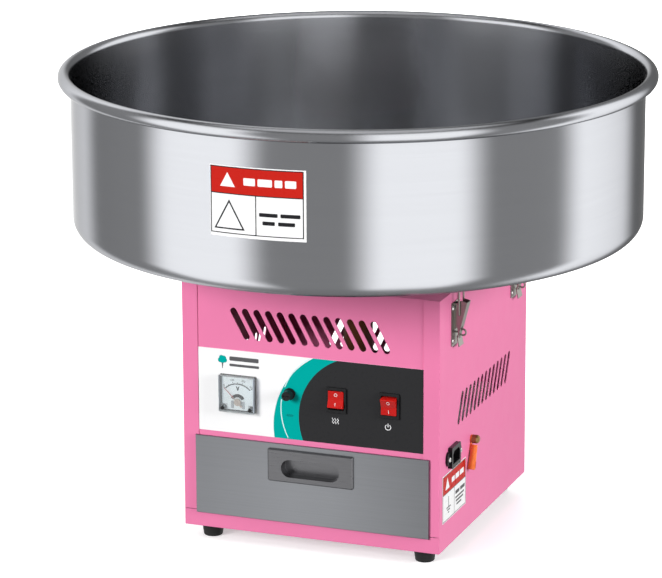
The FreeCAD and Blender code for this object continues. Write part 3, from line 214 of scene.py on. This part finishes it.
def pointer(name, colour, coil_colour):
    """Red paint on the needle's blade, and the paler wire of the coil round its pivot."""
    f = Finish(name, colour, Roughness=0.4)
    cover_lo, cover_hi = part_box("voltmeter_window")
    middle = (cover_lo + cover_hi) / 2
    pivot = (middle.x, 0, middle.z - NEEDLE_DROP * MM)
    offset = f.vector("MULTIPLY", f.vector("SUBTRACT", f.position(), pivot), (1, 0, 1))
    reach = f.add("VectorMath", {0: offset}, operation="LENGTH").outputs["Value"]
    windings = f.spread(f.math("SINE", f.math("MULTIPLY", reach, 9000)), 0.8, 1.05, -1, 1)     # 0.7 mm apart
    coil = f.add("VectorMath", {0: coil_colour, "Scale": windings}, operation="SCALE").outputs[0]
    coil_end = 8.2 * MM
    f.set("Base Color", f.mix(f.spread(reach, 0, 1, coil_end, coil_end + 0.2 * MM), coil, (*colour, 1)))


# one finish for each material slot of the CAD, and pull_steel for the drawer's pull
painted("pink_paint", (0.77, 0.205, 0.385))
brushed("galvanised", (0.60, 0.62, 0.64), (60, 60, 60), 0.42, contrast=0.2)
spun("bowl_steel", (0.455, 0.463, 0.486), 0.175, across=1000.0, grain=0.0000005, contrast=0.03, edge=0.45,
     streak=1.0, vary=0.008)
spun("seat_steel", (0.55, 0.55, 0.56), 0.34)
moulded("rubber", (0.018, 0.018, 0.018), 0.6, 0.0001, Specular_IOR_Level=0.2)
brushed("screw_steel", (0.70, 0.70, 0.68), (300, 300, 300), 0.28)
printed("overlay_film", (0.87, 0.87, 0.875))
brushed("blackened_steel", (0.05, 0.05, 0.05), (300, 300, 300), 0.4)
printed("label_film", (0.86, 0.86, 0.865))
moulded("black_plastic", (0.010, 0.010, 0.011), 0.27, Specular_IOR_Level=0.2)
printed("dial_card", (0.93, 0.965, 0.985), 0.5)
# the last colour is the painted shade of the cover's sideways faces
clear("clear_cover", (0.9, 0.93, 0.94), (0.42, 0.45, 0.52, 1))
pointer("needle_paint", (0.45, 0.035, 0.03), (0.62, 0.50, 0.44))
clear("fuse_glass", (0.9, 0.93, 0.92), (0.9, 0.93, 0.92, 1))
moulded("red_rocker", (0.48, 0.010, 0.008), 0.22, 0.00001, 0.0005, Subsurface_Weight=0.25,
        Subsurface_Radius=(0.004, 0.0006, 0.0004), Subsurface_Scale=1.0, Coat_Weight=0.12,
        Coat_Roughness=0.06, Specular_IOR_Level=0.1)
brushed("brass", (0.34, 0.20, 0.08), (200, 200, 200), 0.36, contrast=0.3)
brushed("pin_brass", (0.72, 0.68, 0.6), (40, 200, 200), 0.3)
moulded("orange_sleeve", (0.86, 0.19, 0.03), 0.3, Subsurface_Weight=0.3,
        Subsurface_Radius=(0.004, 0.0015, 0.0004), Subsurface_Scale=1.0)
brushed("latch_steel", (0.30, 0.285, 0.26), (700, 700, 60), 0.33, grain=0.000005, contrast=0.08)
brushed("drawer_steel", (0.285, 0.293, 0.31), (5, 900, 900), 0.36, contrast=0.06)
brushed("pull_steel", (0.175, 0.175, 0.183), (40, 500, 500), 0.3, contrast=0.1)
painted("motor_paint", (0.06, 0.065, 0.07))
spun("shaft_steel", (0.6, 0.6, 0.6), 0.22)
moulded("insulator", (0.20, 0.075, 0.03), 0.45)
moulded("carbon", (0.03, 0.03, 0.03), 0.6)
spun("head_aluminium", (0.77, 0.77, 0.78), 0.3, across=1500.0, contrast=0.1)
brushed("element_ribbon", (0.24, 0.2, 0.18), (100, 100, 300), 0.4, contrast=0.3)
brushed("mesh_steel", (0.68, 0.68, 0.68), (60, 60, 500), 0.3)
moulded("terminal_nylon", (0.78, 0.76, 0.69), 0.45)


def fade_from(f, centre, start, end, low):
    """The base colour darkens away from a point: a painted reflection, brightest at that point and falling off
    with distance.
    """
    away = f.add("VectorMath", {0: f.vector("SUBTRACT", f.position(), centre)}, operation="LENGTH")
    factor = f.spread(away.outputs["Value"], 1, low, start, end)
    base = f.shader.inputs["Base Color"].links[0].from_socket
    scaled = f.add("VectorMath", {0: base, "Scale": factor}, operation="SCALE").outputs[0]
    f.set("Base Color", scaled)


def paint_drawer_reflection_fade():
    # Painted reflection: the drawer's steel is brightest a little below the middle of its front and darker away
    # from it.
    lo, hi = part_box("drawer_front")
    brightest = (lo + hi) / 2 - Vector((0, 0, 0.02))
    fade_from(FINISHES["drawer_steel"], brightest, start=0.03, end=0.16, low=0.76)


paint_drawer_reflection_fade()

# inks
printed("teal_ink", (0.0, 0.36, 0.325))
printed("pale_teal_ink", (0.68, 0.86, 0.85))
printed("charcoal_ink", (0.027, 0.027, 0.0285))
printed("white_ink", (0.85, 0.85, 0.86))
printed("black_ink", (0.018, 0.018, 0.02))
printed("soft_grey_ink", (0.46, 0.47, 0.50))
printed("card_ink", (0.66, 0.68, 0.70))
printed("grey_ink", (0.10, 0.10, 0.105))
printed("red_ink", (0.50, 0.018, 0.012))
printed("dim_teal_ink", (0.004, 0.15, 0.14))

for node, obj in NODES.items():
    finish = "pull_steel" if node == "drawer_pull" else SLOT_OF[node]
    obj.data.materials.clear()
    obj.data.materials.append(FINISHES[finish].material)


# ---------------------------------------------------------------- mesh helpers

def new_piece(name, mesh, body, finish):
    obj = bpy.data.objects.new(name, mesh)
    bpy.context.scene.collection.objects.link(obj)
    mesh.materials.clear()
    mesh.materials.append(finish.material)
    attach(obj, body)
    return obj


def smooth(mesh, degrees=32):
    mesh.polygons.foreach_set("use_smooth", [True] * len(mesh.polygons))
    mesh.set_sharp_from_angle(angle=math.radians(degrees))


def lathe(name, profile, segments):
    """A closed profile of (radius, height) turned round the vertical axis."""
    bm = bmesh.new()
    rings = []
    for step in range(segments):
        angle = 2 * math.pi * step / segments
        rings.append([bm.verts.new((r * math.sin(angle), -r * math.cos(angle), z)) for r, z in profile])
    count = len(profile)
    for step in range(segments):
        here, there = rings[step], rings[(step + 1) % segments]
        for index in range(count):
            after = (index + 1) % count
            bm.faces.new((here[index], there[index], there[after], here[after]))
    bmesh.ops.recalc_face_normals(bm, faces=bm.faces)
    mesh = bpy.data.meshes.new(name)
    bm.to_mesh(mesh)
    bm.free()
    smooth(mesh)
    return mesh


def arc(centre, radius, start, end, steps):
    """Points on an arc, angles in degrees."""
    points = []
    for step in range(steps + 1):
        angle = math.radians(start + (end - start) * step / steps)
        points.append((centre[0] + radius * math.cos(angle), centre[1] + radius * math.sin(angle)))
    return points


def box_loop(u0, u1, v0, v1, r=0.0):
    """A rectangle, with round corners if r is given."""
    if not r:
        return [(u0, v0), (u1, v0), (u1, v1), (u0, v1)]
    loop = []
    for centre, start in (((u1 - r, v0 + r), -90), ((u1 - r, v1 - r), 0), ((u0 + r, v1 - r), 90),
                          ((u0 + r, v0 + r), 180)):
        loop += arc(centre, r, start, start + 90, 6)
    return loop


def line_loop(a, b, width):
    """A straight stroke."""
    a, b = Vector(a), Vector(b)
    along = (b - a).normalized() * width / 2
    n = Vector((-along.y, along.x))
    return [tuple(a + n), tuple(a - n), tuple(b - n), tuple(b + n)]


def disc_loop(centre, radius, steps=40):
    return arc(centre, radius, 0, 360, steps)[:-1]


def band_loop(centre, radius, width, start, end, steps):
    """A stroke of the given width along an arc."""
    outer, inner = radius + width / 2, radius - width / 2
    return arc(centre, outer, start, end, steps) + arc(centre, inner, end, start, steps)


def triangle_loops(centre, half, height, line):
    """A triangle outline: an outer loop and the hole inside it."""
    u, v = centre
    outer = [(u - half, v), (u + half, v), (u, v + height)]
    side = math.hypot(half, height)
    inner_half = half - line * (side + half) / height
    inner = [(u - inner_half, v + line), (u + inner_half, v + line), (u, v + height - line * side / half)]
    return [outer, inner]


def filled(curve, thickness, place, cut_step=0.0):
    """Turns a flat filled curve into a thin solid and moves its points with place(u, v, w), in millimetres.

    cut_step cuts it into strips first, so that it can bend round the bowl.
    """
    curve.fill_mode = "BOTH"
    curve.extrude = thickness / 2
    holder = bpy.data.objects.new("outline", curve)
    bpy.context.scene.collection.objects.link(holder)
    bpy.context.view_layer.update()
    mesh = bpy.data.meshes.new_from_object(holder)
    bpy.data.objects.remove(holder)
    bpy.data.curves.remove(curve)
    bm = bmesh.new()
    bm.from_mesh(mesh)
    bmesh.ops.remove_doubles(bm, verts=bm.verts, dist=1e-5)
    if cut_step:
        us = [v.co.x for v in bm.verts]
        cut = (math.floor(min(us) / cut_step) + 1) * cut_step
        while cut < max(us):
            bmesh.ops.bisect_plane(bm, geom=bm.verts[:] + bm.edges[:] + bm.faces[:], plane_co=(cut, 0, 0),
                                   plane_no=(1, 0, 0))
            cut += cut_step
    for vert in bm.verts:
        u, v, w = vert.co
        vert.co = Vector(place(u, v, w + thickness / 2)) * MM
    bmesh.ops.recalc_face_normals(bm, faces=bm.faces)
    bm.to_mesh(mesh)
    bm.free()
    return mesh


def print_shape(name, loops, place, body, ink, thickness=0.06, cut_step=0.0):
    """A flat printed shape; a loop inside another one is a hole."""
    curve = bpy.data.curves.new(name, "CURVE")
    curve.dimensions = "2D"
    for loop in loops:
        spline = curve.splines.new("POLY")
        spline.points.add(len(loop) - 1)
        for point, (u, v) in zip(spline.points, loop):
            point.co = (u, v, 0, 1)
        spline.use_cyclic_u = True
    mesh = filled(curve, thickness, place, cut_step)
    mesh.name = name
    new_piece(name, mesh, body, FINISHES[ink])


def print_number(name, text, at, size, place, body, ink, turn):
    """A number on a dial."""
    curve = bpy.data.curves.new(name, "FONT")
    curve.body = text
    curve.size = size
    curve.align_x = "CENTER"
    curve.align_y = "CENTER"
    spin = Matrix.Rotation(math.radians(turn), 2)

    def turned(u, v, w):
        moved = spin @ Vector((u, v))
        return place(at[0] + moved.x, at[1] + moved.y, w)
    mesh = filled(curve, 0.05, turned)
    mesh.name = name
    new_piece(name, mesh, body, FINISHES[ink])


def in_mm(node):
    lo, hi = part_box(node)
    return lo / MM, hi / MM


def middle_of(node):
    """The middle of a node seen from the front, in millimetres."""
    lo, hi = in_mm(node)
    return (lo.x + hi.x) / 2, (lo.z + hi.z) / 2


# ---------------------------------------------------------------- bowl

def bowl():
    """The spun bowl: outside from the hole to the rim's curl, then back along the inside."""
    lo, hi = in_mm("bowl_shell")
    sheet, curl, corner, hole, hole_bend, lip = 1.0, 7.9, 20.0, 85.0, 4.0, 16.0
    wall = hi.x - 2 * curl + sheet
    curl_at = (hi.x - curl, hi.z - curl)
    corner_at = (wall - corner, lo.z + corner)
    bend_at = (hole + hole_bend, lo.z + hole_bend)
    lip_top = lo.z + lip
    quarters, fifths = (0.25, 0.5, 0.75), (0.2, 0.4, 0.6, 0.8)
    profile = [(hole, lip_top), (hole, lo.z + hole_bend)]
    profile += arc(bend_at, hole_bend, 180, 270, 8)[1:]
    profile += [(hole + (corner_at[0] - hole) * share, lo.z) for share in quarters]
    profile += arc(corner_at, corner, -90, 0, 16)
    profile += [(wall, corner_at[1] + (curl_at[1] - corner_at[1]) * share) for share in fifths]
    profile += arc(curl_at, curl - sheet, 180, -135, 36)
    profile += arc(curl_at, curl, -135, 180, 40)
    inner = wall - sheet
    profile += [(inner, curl_at[1] + (corner_at[1] - curl_at[1]) * share) for share in fifths]
    profile += arc(corner_at, corner - sheet, 0, -90, 16)
    profile += [(corner_at[0] + (hole - corner_at[0]) * share, lo.z + sheet) for share in quarters]
    profile += arc(bend_at, hole_bend - sheet, 270, 180, 6)
    chamfer = 0.4
    profile += [(hole + sheet, lip_top - chamfer), (hole + sheet - chamfer, lip_top)]
    mesh = lathe("bowl", [(r * MM, z * MM) for r, z in profile], segments=320)
    piece = new_piece("bowl", mesh, "bowl", FINISHES["bowl_steel"])
    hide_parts("bowl_shell")


bowl()


def bowl_label_print():
    """Wordless label wrapped round the bowl: a red band over two cells. Sizes on it are in millimetres."""
    lo, hi = in_mm("bowl_label")
    radius = -lo.y
    start, end = math.asin(lo.x / radius), math.asin(hi.x / radius)
    wide = (end - start) * radius
    tall = hi.z - lo.z
    ink_film, strip = 0.07, 3.0

    def mark(name, loops, ink, layer=1):
        """layer counts the ink films that a shape lies on."""
        def place(u, v, w):
            angle, reach = start + u / radius, radius + w + layer * ink_film
            return (reach * math.sin(angle), -reach * math.cos(angle), lo.z + v)
        print_shape("bowl_label_" + name, loops, place, "bowl", ink, ink_film, strip)

    line, left, right, low, top = 1.1, 0.8, wide - 2.8, 3.6, tall - 1.2
    band = low + (top - low) * 0.605
    middle = (left + right) / 2
    mark("band", [box_loop(left, right, band, top)], "red_ink", layer=0)
    inside = (left + line, right - line)
    mark("frame", [box_loop(left, right, low, top), box_loop(*inside, low + line, band - line),
                   box_loop(*inside, band, top - line)], "black_ink")
    mark("divider", [box_loop(middle - line / 2, middle + line / 2, low + line, band - line)], "black_ink")
    mark("band_sign", [[(13, band + 7.5), (31.5, band + 7.5), (22.2, top - 6.5)]], "white_ink")
    for index, (u0, u1) in enumerate(((42, 56), (59, 76), (79, 88), (91, 104))):
        mark(f"band_bar_{index}", [box_loop(u0, u1, band + 10.5, band + 19.0, 1.2)], "white_ink")
    mark("sign", triangle_loops((left + 23.2, low + 5.0), half=19.0, height=34.5, line=1.7), "black_ink")
    # each row of the right cell: its height, then its ends as shares of the cell
    rows = ((25.0, 0.07, 0.46), (25.0, 0.52, 0.93), (15.5, 0.14, 0.40), (15.5, 0.47, 0.82))
    cell, half = right - middle, 2.2
    for index, (height, u0, u1) in enumerate(rows):
        bar = box_loop(middle + cell * u0, middle + cell * u1, low + height - half, low + height + half, 1.0)
        mark(f"line_{index}", [bar], "black_ink")


bowl_label_print()


# ---------------------------------------------------------------- control panel

PANEL_LO, PANEL_HI = in_mm("control_overlay")
FACE = PANEL_LO.y


def on_panel(u, v, w):
    """u to the right, v up and w out of the panel, all in millimetres."""
    return (u, FACE - w, v)


def clipped_disc(centre, radius, inner=None):
    """The part of the panel to the right of a circle's left side; inner cuts it off again further right."""
    lo, hi, right = PANEL_LO.z, PANEL_HI.z, PANEL_HI.x
    steps = 60

    def edge(centre, radius, up):
        start, end = (lo, hi) if up else (hi, lo)
        points = []
        for step in range(steps + 1):
            v = start + (end - start) * step / steps
            points.append((centre[0] - math.sqrt(radius ** 2 - (v - centre[1]) ** 2), v))
        return points
    loop = edge(centre, radius, False)
    if inner:
        loop += edge(*inner, True)
    else:
        loop += [(right, lo), (right, hi)]
    return loop


def switch_window(kind):
    """The zone of print that a switch covers, a little smaller than its bezel."""
    lo, hi = in_mm(kind + "_switch_body")
    under = 0.6
    return box_loop(lo.x + under, hi.x - under, lo.z + under, hi.z - under)


INK_FILM = 0.06


def symbol(name, at, loops, ink, lift=INK_FILM):
    """A printed shape drawn about its own centre; lift is the height of the ink below it."""
    def place(u, v, w):
        return on_panel(at[0] + u, at[1] + v, w + lift)
    print_shape(name, loops, place, "housing", ink)


def panel_graphics():
    """A charcoal zone bounded by a circle, a teal crescent beside it and a thin pale arc on that."""
    fuse_at = middle_of("fuse_holder_body")
    teal = ((55.4, 155.5), 101.8)
    grey = ((66.2, 169.5), 80.4)
    origin = (0, 0)
    symbol("panel_teal", origin, [clipped_disc(*teal, inner=grey), disc_loop(fuse_at, 6.6)], "teal_ink", 0.0)
    symbol("panel_charcoal", origin, [clipped_disc(*grey), switch_window("heat"), switch_window("power")],
           "charcoal_ink", 0.0)
    centre, radius, width = (38.9, 177.6), 75.7, 1.1
    low = 180 + math.degrees(math.asin((centre[1] - PANEL_LO.z) / radius))
    high = 180 - math.degrees(math.asin((PANEL_HI.z - centre[1]) / radius))
    fuse = 180 - math.degrees(math.asin((fuse_at[1] - centre[1]) / radius))
    gap, margin = 6.0, 1.5
    for name, start, end in (("low", low - margin, fuse + gap), ("high", fuse - gap, high + margin)):
        stroke = band_loop(centre, radius, width, start, end, 60)
        symbol("panel_arc_" + name, origin, [stroke], "pale_teal_ink")


panel_graphics()


def wave(offset):
    """One rising wavy stroke."""
    steps, height, sway, half = 24, 7.2, 0.8, 0.42
    left, right = [], []
    for step in range(steps + 1):
        v = -height / 2 + height * step / steps
        u = offset + sway * math.sin(v * 1.75)
        left.append((u - half, v))
        right.append((u + half, v))
    return left + right[::-1]


def panel_symbols():
    """Heat waves, a power sign, a fuse sign, and a candy cloud with two bars; each has its own centre."""
    at = (middle_of("heat_switch_body")[0] - 1.6, 169.3)
    for index, offset in enumerate((-3.2, 0.0, 3.2)):
        symbol(f"heat_mark_{index}", at, [wave(offset)], "white_ink")
    at = (middle_of("power_switch_body")[0] - 1.9, 168.6)
    symbol("power_mark_ring", at, [band_loop((0, 0), 3.4, 0.85, 122, 418, 50)], "white_ink")
    symbol("power_mark_bar", at, [box_loop(-0.45, 0.45, 0.2, 4.6)], "white_ink")
    at = (middle_of("fuse_holder_body")[0], 170.0)
    case = [box_loop(-3.4, 3.4, -1.3, 1.3), box_loop(-2.9, 2.9, -0.8, 0.8)]
    symbol("fuse_mark_case", at, case, "dim_teal_ink")
    symbol("fuse_mark_wire", at, [box_loop(-5.6, 5.6, -0.25, 0.25)], "dim_teal_ink", 2 * INK_FILM)
    cloud = (-111.5, 231.0)
    puffs = ((-2.9, -1.0, 3.0), (2.9, -0.8, 3.0), (-1.2, 2.2, 3.1), (2.0, 2.0, 2.7), (0.0, -1.6, 3.1))
    apart = 0.012             # keeps the faces of overlapping puffs from coinciding
    for index, (u, v, r) in enumerate(puffs):
        symbol(f"cloud_{index}", cloud, [disc_loop((u, v), r)], "teal_ink", apart * index)
    symbol("cloud_stick", cloud, [[(-1.0, -4.4), (1.0, -4.4), (0.35, -11.0), (-0.35, -11.0)]], "grey_ink")
    symbol("name_bar_wide", (-83.0, 233.0), [box_loop(-19.5, 18.0, -2.6, 2.6, 1.2)], "grey_ink", 0.0)
    symbol("name_bar_thin", (-83.0, 225.0), [box_loop(-19.5, 18.5, -1.6, 1.6, 0.9)], "grey_ink", 0.0)


panel_symbols()


def meter_face():
    """The dial's scale, numbers and unit, and what shows of the movement below it, in millimetres."""
    mid = middle_of("voltmeter_window")
    pivot = (mid[0], mid[1] - NEEDLE_DROP)
    dial_lo, dial_hi = in_mm("voltmeter_dial")

    def mark(name, loops, ink="black_ink", thickness=0.05, back=dial_lo.y):
        def place(u, v, w):
            return (u, back - w, v)
        print_shape("dial_" + name, loops, place, "housing", ink, thickness)

    radius, first, sweep, divisions = 22.4, 135, 90, 30
    tick_lengths = {"major": 2.8, "middle": 2.1, "minor": 1.4}
    mark("arc", [band_loop(pivot, radius, 1.2, first - sweep, first, 50)])
    for index in range(divisions + 1):
        angle = math.radians(first - sweep / divisions * index)
        kind = "major" if index % 10 == 0 else "middle" if index % 5 == 0 else "minor"
        reach = Vector((math.cos(angle), math.sin(angle)))
        a = Vector(pivot) + reach * (radius + 0.6)
        b = Vector(pivot) + reach * (radius + tick_lengths[kind])
        mark(f"tick_{index:02d}", [line_loop(a, b, 0.25 if kind == "minor" else 0.5)])
    reach = radius + 5.2
    for index, text in enumerate(("0", "100", "200", "300")):
        angle = first - sweep / 3 * index
        inward = 0.9 if text in ("0", "300") else 1      # the outer numbers stand a little further in
        at = (pivot[0] + reach * math.cos(math.radians(angle)) * inward,
              pivot[1] + reach * math.sin(math.radians(angle)))
        print_number(f"dial_number_{index}", text, at, 3.6, lambda u, v, w: (u, dial_lo.y - w, v), "housing",
                     "black_ink", angle - 90)
    unit = [(-2.1, 2.5), (-0.75, 2.5), (0.0, -0.3), (0.75, 2.5), (2.1, 2.5), (0.75, -2.5), (-0.75, -2.5)]
    mark("unit", [[(mid[0] + u, mid[1] + 6.4 + v) for u, v in unit]])
    mark("coil_cover", [band_loop((mid[0], pivot[1] + 0.6), 7.6, 3.6, 28, 152, 40)], thickness=1.2)
    card_low, card_high, card_side, post_off, post_r = 21.0, 14.4, 21.0, 17.6, 3.1
    for side, name in ((-1, "left"), (1, "right")):
        magnet = sorted((mid[0] + side * 5.6, mid[0] + side * 8.6))
        mark("magnet_" + name, [box_loop(*magnet, pivot[1] - 8.0, pivot[1] + 1.2, 0.8)], "soft_grey_ink", 0.9)
        across = sorted((mid[0] + side * (dial_hi.x - mid[0] - 6.8), mid[0] + side * card_side))
        post = disc_loop((mid[0] + side * post_off, mid[1] - post_off), post_r, 30)
        card = box_loop(*across, mid[1] - card_low, mid[1] - card_high)
        mark("corner_" + name, [card, post], "card_ink", 0.7, back=dial_hi.y)


meter_face()


def rocker_marks():
    """A ring and a bar on the two sloping halves of each rocker, at its angle at rest."""
    pivot_depth, proud, slope = 5.0, 6.2, math.atan2(1.8, 10.2)
    from_pivot = 5.6
    for kind, degrees in (("heat", -11.0), ("power", 11.0)):
        switch_lo = in_mm(kind + "_switch_body")[0]
        across, height = middle_of(kind + "_rocker")[0], middle_of(kind + "_switch_body")[1]
        pivot_y = switch_lo.y + pivot_depth
        turn = math.radians(degrees)
        for side, name in ((1, "off"), (-1, "on")):
            def place(u, v, w):
                z = v + side * from_pivot
                y = -proud - abs(z) * math.tan(slope) - w
                return (across + u, pivot_y + y * math.cos(turn) - z * math.sin(turn),
                        height + y * math.sin(turn) + z * math.cos(turn))
            ring = [disc_loop((0, 0), 2.0, 48), disc_loop((0, 0), 1.45, 48)]
            loops = ring if name == "off" else [box_loop(-0.3, 0.3, -1.8, 1.8)]
            print_shape(f"{kind}_rocker_{name}", loops, place, kind + "_rocker", "white_ink",
                        0.05)


rocker_marks()


def side_label_print():
    """Wordless label on the right side: a red band over an earth sign and some bars, in millimetres."""
    lo, hi = in_mm("side_label")
    wide, tall = hi.y - lo.y, hi.z - lo.z

    def mark(name, loops, ink="grey_ink", lift=INK_FILM):
        def place(u, v, w):
            return (hi.x + w + lift, lo.y + u, lo.z + v)
        print_shape("side_label_" + name, loops, place, "housing", ink, INK_FILM)

    line, edge = 0.8, 1.0
    inside = (edge + line, wide - edge - line)
    band = tall * 0.595
    middle = wide / 2
    mark("band", [box_loop(edge, wide - edge, band, tall - edge)], "red_ink", lift=0.0)
    mark("frame", [box_loop(edge, wide - edge, edge, tall - edge),
                   box_loop(*inside, edge + line, band - line),
                   box_loop(*inside, band, tall - edge - line)])
    mark("divider", [box_loop(middle - line / 2, middle + line / 2, edge + line, band - line)])
    mark("band_sign", [[(10, band + 4.5), (25, band + 4.5), (17.5, tall - 5.0)]], "white_ink")
    for index, (u0, u1) in enumerate(((33, 44), (47, 60), (63, 77))):
        mark(f"band_bar_{index}", [box_loop(u0, u1, band + 7.5, band + 14.0, 1.0)], "white_ink")
    across, foot, half_stem = middle / 2 + 0.5, 7.0, 0.7
    mark("earth_stem", [box_loop(across - half_stem, across + half_stem, foot + 9.4, foot + 22.0)])
    pitch, bar = 3.2, 1.5
    for index, half in enumerate((7.5, 4.8, 2.2)):
        height = foot + 8.0 - pitch * index
        mark(f"earth_bar_{index}", [box_loop(across - half, across + half, height, height + bar)])
    # each row of the right cell: its height, its ends as shares of the cell, and half its thickness
    rows = ((25.5, 0.10, 0.45, 2.2), (25.5, 0.52, 0.92, 2.2), (19.0, 0.10, 0.86, 1.1),
            (14.5, 0.14, 0.78, 1.1), (10.0, 0.20, 0.62, 1.1))
    cell = wide - edge - middle
    for index, (height, u0, u1, half) in enumerate(rows):
        bar_loop = box_loop(middle + cell * u0, middle + cell * u1, height - half, height + half, half * 0.6)
        mark(f"line_{index}", [bar_loop])


side_label_print()


# ---------------------------------------------------------------- studio

def paper(name, shade, glow):
    """Pale paper that also glows a little, so that it stays nearly white."""
    f = Finish(name, (shade, shade, shade), Roughness=0.9)
    f.mottle(f.noise(f.position(), 3, 2), 0.995, 1.005)
    f.set("Emission Color", (*glow, 1))
    return f


def backdrop(name, radius, finish, seen_by):
    """A dome round the studio that one kind of ray sees."""
    bpy.ops.mesh.primitive_uv_sphere_add(segments=64, ring_count=32, radius=radius, location=(0, 0, 0))
    dome = bpy.context.object
    dome.name = name
    dome.data.materials.append(finish.material)
    for flag in ("visible_camera", "visible_diffuse", "visible_glossy", "visible_transmission",
                 "visible_shadow", "visible_volume_scatter"):
        setattr(dome, flag, flag == seen_by)


def studio():
    """The floor, brighter away from the object, and the backdrop behind it."""
    radius = 24
    bpy.ops.mesh.primitive_circle_add(vertices=96, radius=radius, fill_type="NGON", location=(0, 0, 0))
    floor = bpy.context.object
    floor.name = "studio_floor"
    f = paper("studio_floor", 0.86, glow=(1, 1, 1))
    away = f.add("VectorMath", {0: f.position()}, operation="LENGTH").outputs["Value"]
    f.set("Emission Strength", f.spread(away, 0.45, 0.95, 0.4, 3.0))
    floor.data.materials.append(f.material)
    floor.visible_glossy = False
    floor.visible_diffuse = False
    sky = paper("studio_dome", 0.9, glow=(0.9, 0.9, 0.9))
    sky.set("Emission Strength", 1.0)
    backdrop("studio_dome", radius, sky, "visible_camera")


SOFT_BOXES = 4                # alike and evenly spaced, the first an eighth of a turn from the front
BOX_LEVEL = 1.8               # brightness of a soft box as metal and gloss mirror it
GAP_LEVEL = 0.4               # and of the room between two of them


def studio_panels():
    """The soft boxes that metal and gloss mirror, as even bands of brightness on a wide dome round the studio."""
    f = Finish("studio_panels", (0, 0, 0))
    x, y, z = f.add("SeparateXYZ", {0: f.vector("NORMALIZE", f.position())}).outputs
    turn = f.math("ARCTAN2", x, f.math("MULTIPLY", y, -1.0))
    wave = f.math("COSINE", f.math("MULTIPLY_ADD", turn, SOFT_BOXES, math.pi))

    def blend(value, start, end, first, second):
        """First while the value is below the start, second once it is above the end."""
        rise = f.add("MapRange", {"Value": value, "From Min": start, "From Max": end},
                     interpolation_type="SMOOTHSTEP").outputs[0]
        return f.math("MULTIPLY_ADD", rise, f.math("SUBTRACT", second, first), first)

    # Heights are sines of the elevation.
    dark_ring, top, underfoot = 0.06, 0.85, 0.35
    level = blend(wave, -0.6, 0.6, GAP_LEVEL, BOX_LEVEL)
    level = blend(z, 0.6, 0.8, level, dark_ring)
    level = blend(z, 0.82, 0.93, level, top)
    level = blend(z, -0.95, -0.72, underfoot, level)
    f.surface(f.add("Emission", {"Color": (1.0, 1.0, 1.0, 1.0), "Strength": level}))
    f.material.cycles.emission_sampling = "NONE"
    backdrop("studio_panels", 20, f, "visible_glossy")


def soft_world(level):
    """The even light of the room, for everything that isn't mirrored."""
    world = bpy.data.worlds.new("soft_world")
    world.use_nodes = True
    background = world.node_tree.nodes["Background"]
    background.inputs["Color"].default_value = (1, 1, 1, 1)
    background.inputs["Strength"].default_value = level
    bpy.context.scene.world = world


def soft_light(name, at, aim, size, power):
    """A round soft box that lights paint and print, but isn't mirrored in the metal."""
    data = bpy.data.lights.new(name, "AREA")
    data.shape = "DISK"
    data.size = size
    data.energy = power
    obj = bpy.data.objects.new(name, data)
    obj.location = at
    obj.rotation_euler = (Vector(aim) - Vector(at)).to_track_quat("-Z", "Y").to_euler()
    obj.visible_glossy = False
    bpy.context.scene.collection.objects.link(obj)


def camera():
    """The view at azimuth 20.85 and elevation 15.33 degrees, along a line through the object's middle."""
    azimuth, elevation, roll = (math.radians(a) for a in (20.85, 15.33, -0.24))
    distance, target_height, target_left = 4.228, 0.2858, 0.0332
    right = Vector((math.cos(azimuth), math.sin(azimuth), 0))
    back = Vector((math.sin(azimuth) * math.cos(elevation), -math.cos(azimuth) * math.cos(elevation),
                   math.sin(elevation)))
    up = back.cross(right)
    across = right * math.cos(roll) + up * math.sin(roll)
    upward = up * math.cos(roll) - right * math.sin(roll)
    target = Vector((0, 0, target_height)) - right * target_left
    data = bpy.data.cameras.new("camera")
    data.lens = 188.3
    data.sensor_width = 36
    data.clip_start, data.clip_end = 0.05, 100
    obj = bpy.data.objects.new("camera", data)
    turn = Matrix((across, upward, back)).transposed().to_4x4()
    obj.matrix_world = Matrix.Translation(target + back * distance) @ turn
    bpy.context.scene.collection.objects.link(obj)
    bpy.context.scene.camera = obj


studio()
studio_panels()
soft_world(0.16)
soft_light("front_soft_box", (-2.2, -3.8, 1.6), (0, 0, 0.2), 2.0, 215)
soft_light("right_soft_box", (4.2, -0.8, 1.5), (0, 0, 0.2), 2.2, 195)
soft_light("top_soft_box", (0.3, -0.6, 4.6), (0, 0, 0), 3.6, 110)
soft_light("back_soft_box", (-1.2, 4.0, 1.7), (0, 0, 0.2), 2.2, 150)
camera()
bpy.context.scene.view_settings.view_transform = "Standard"
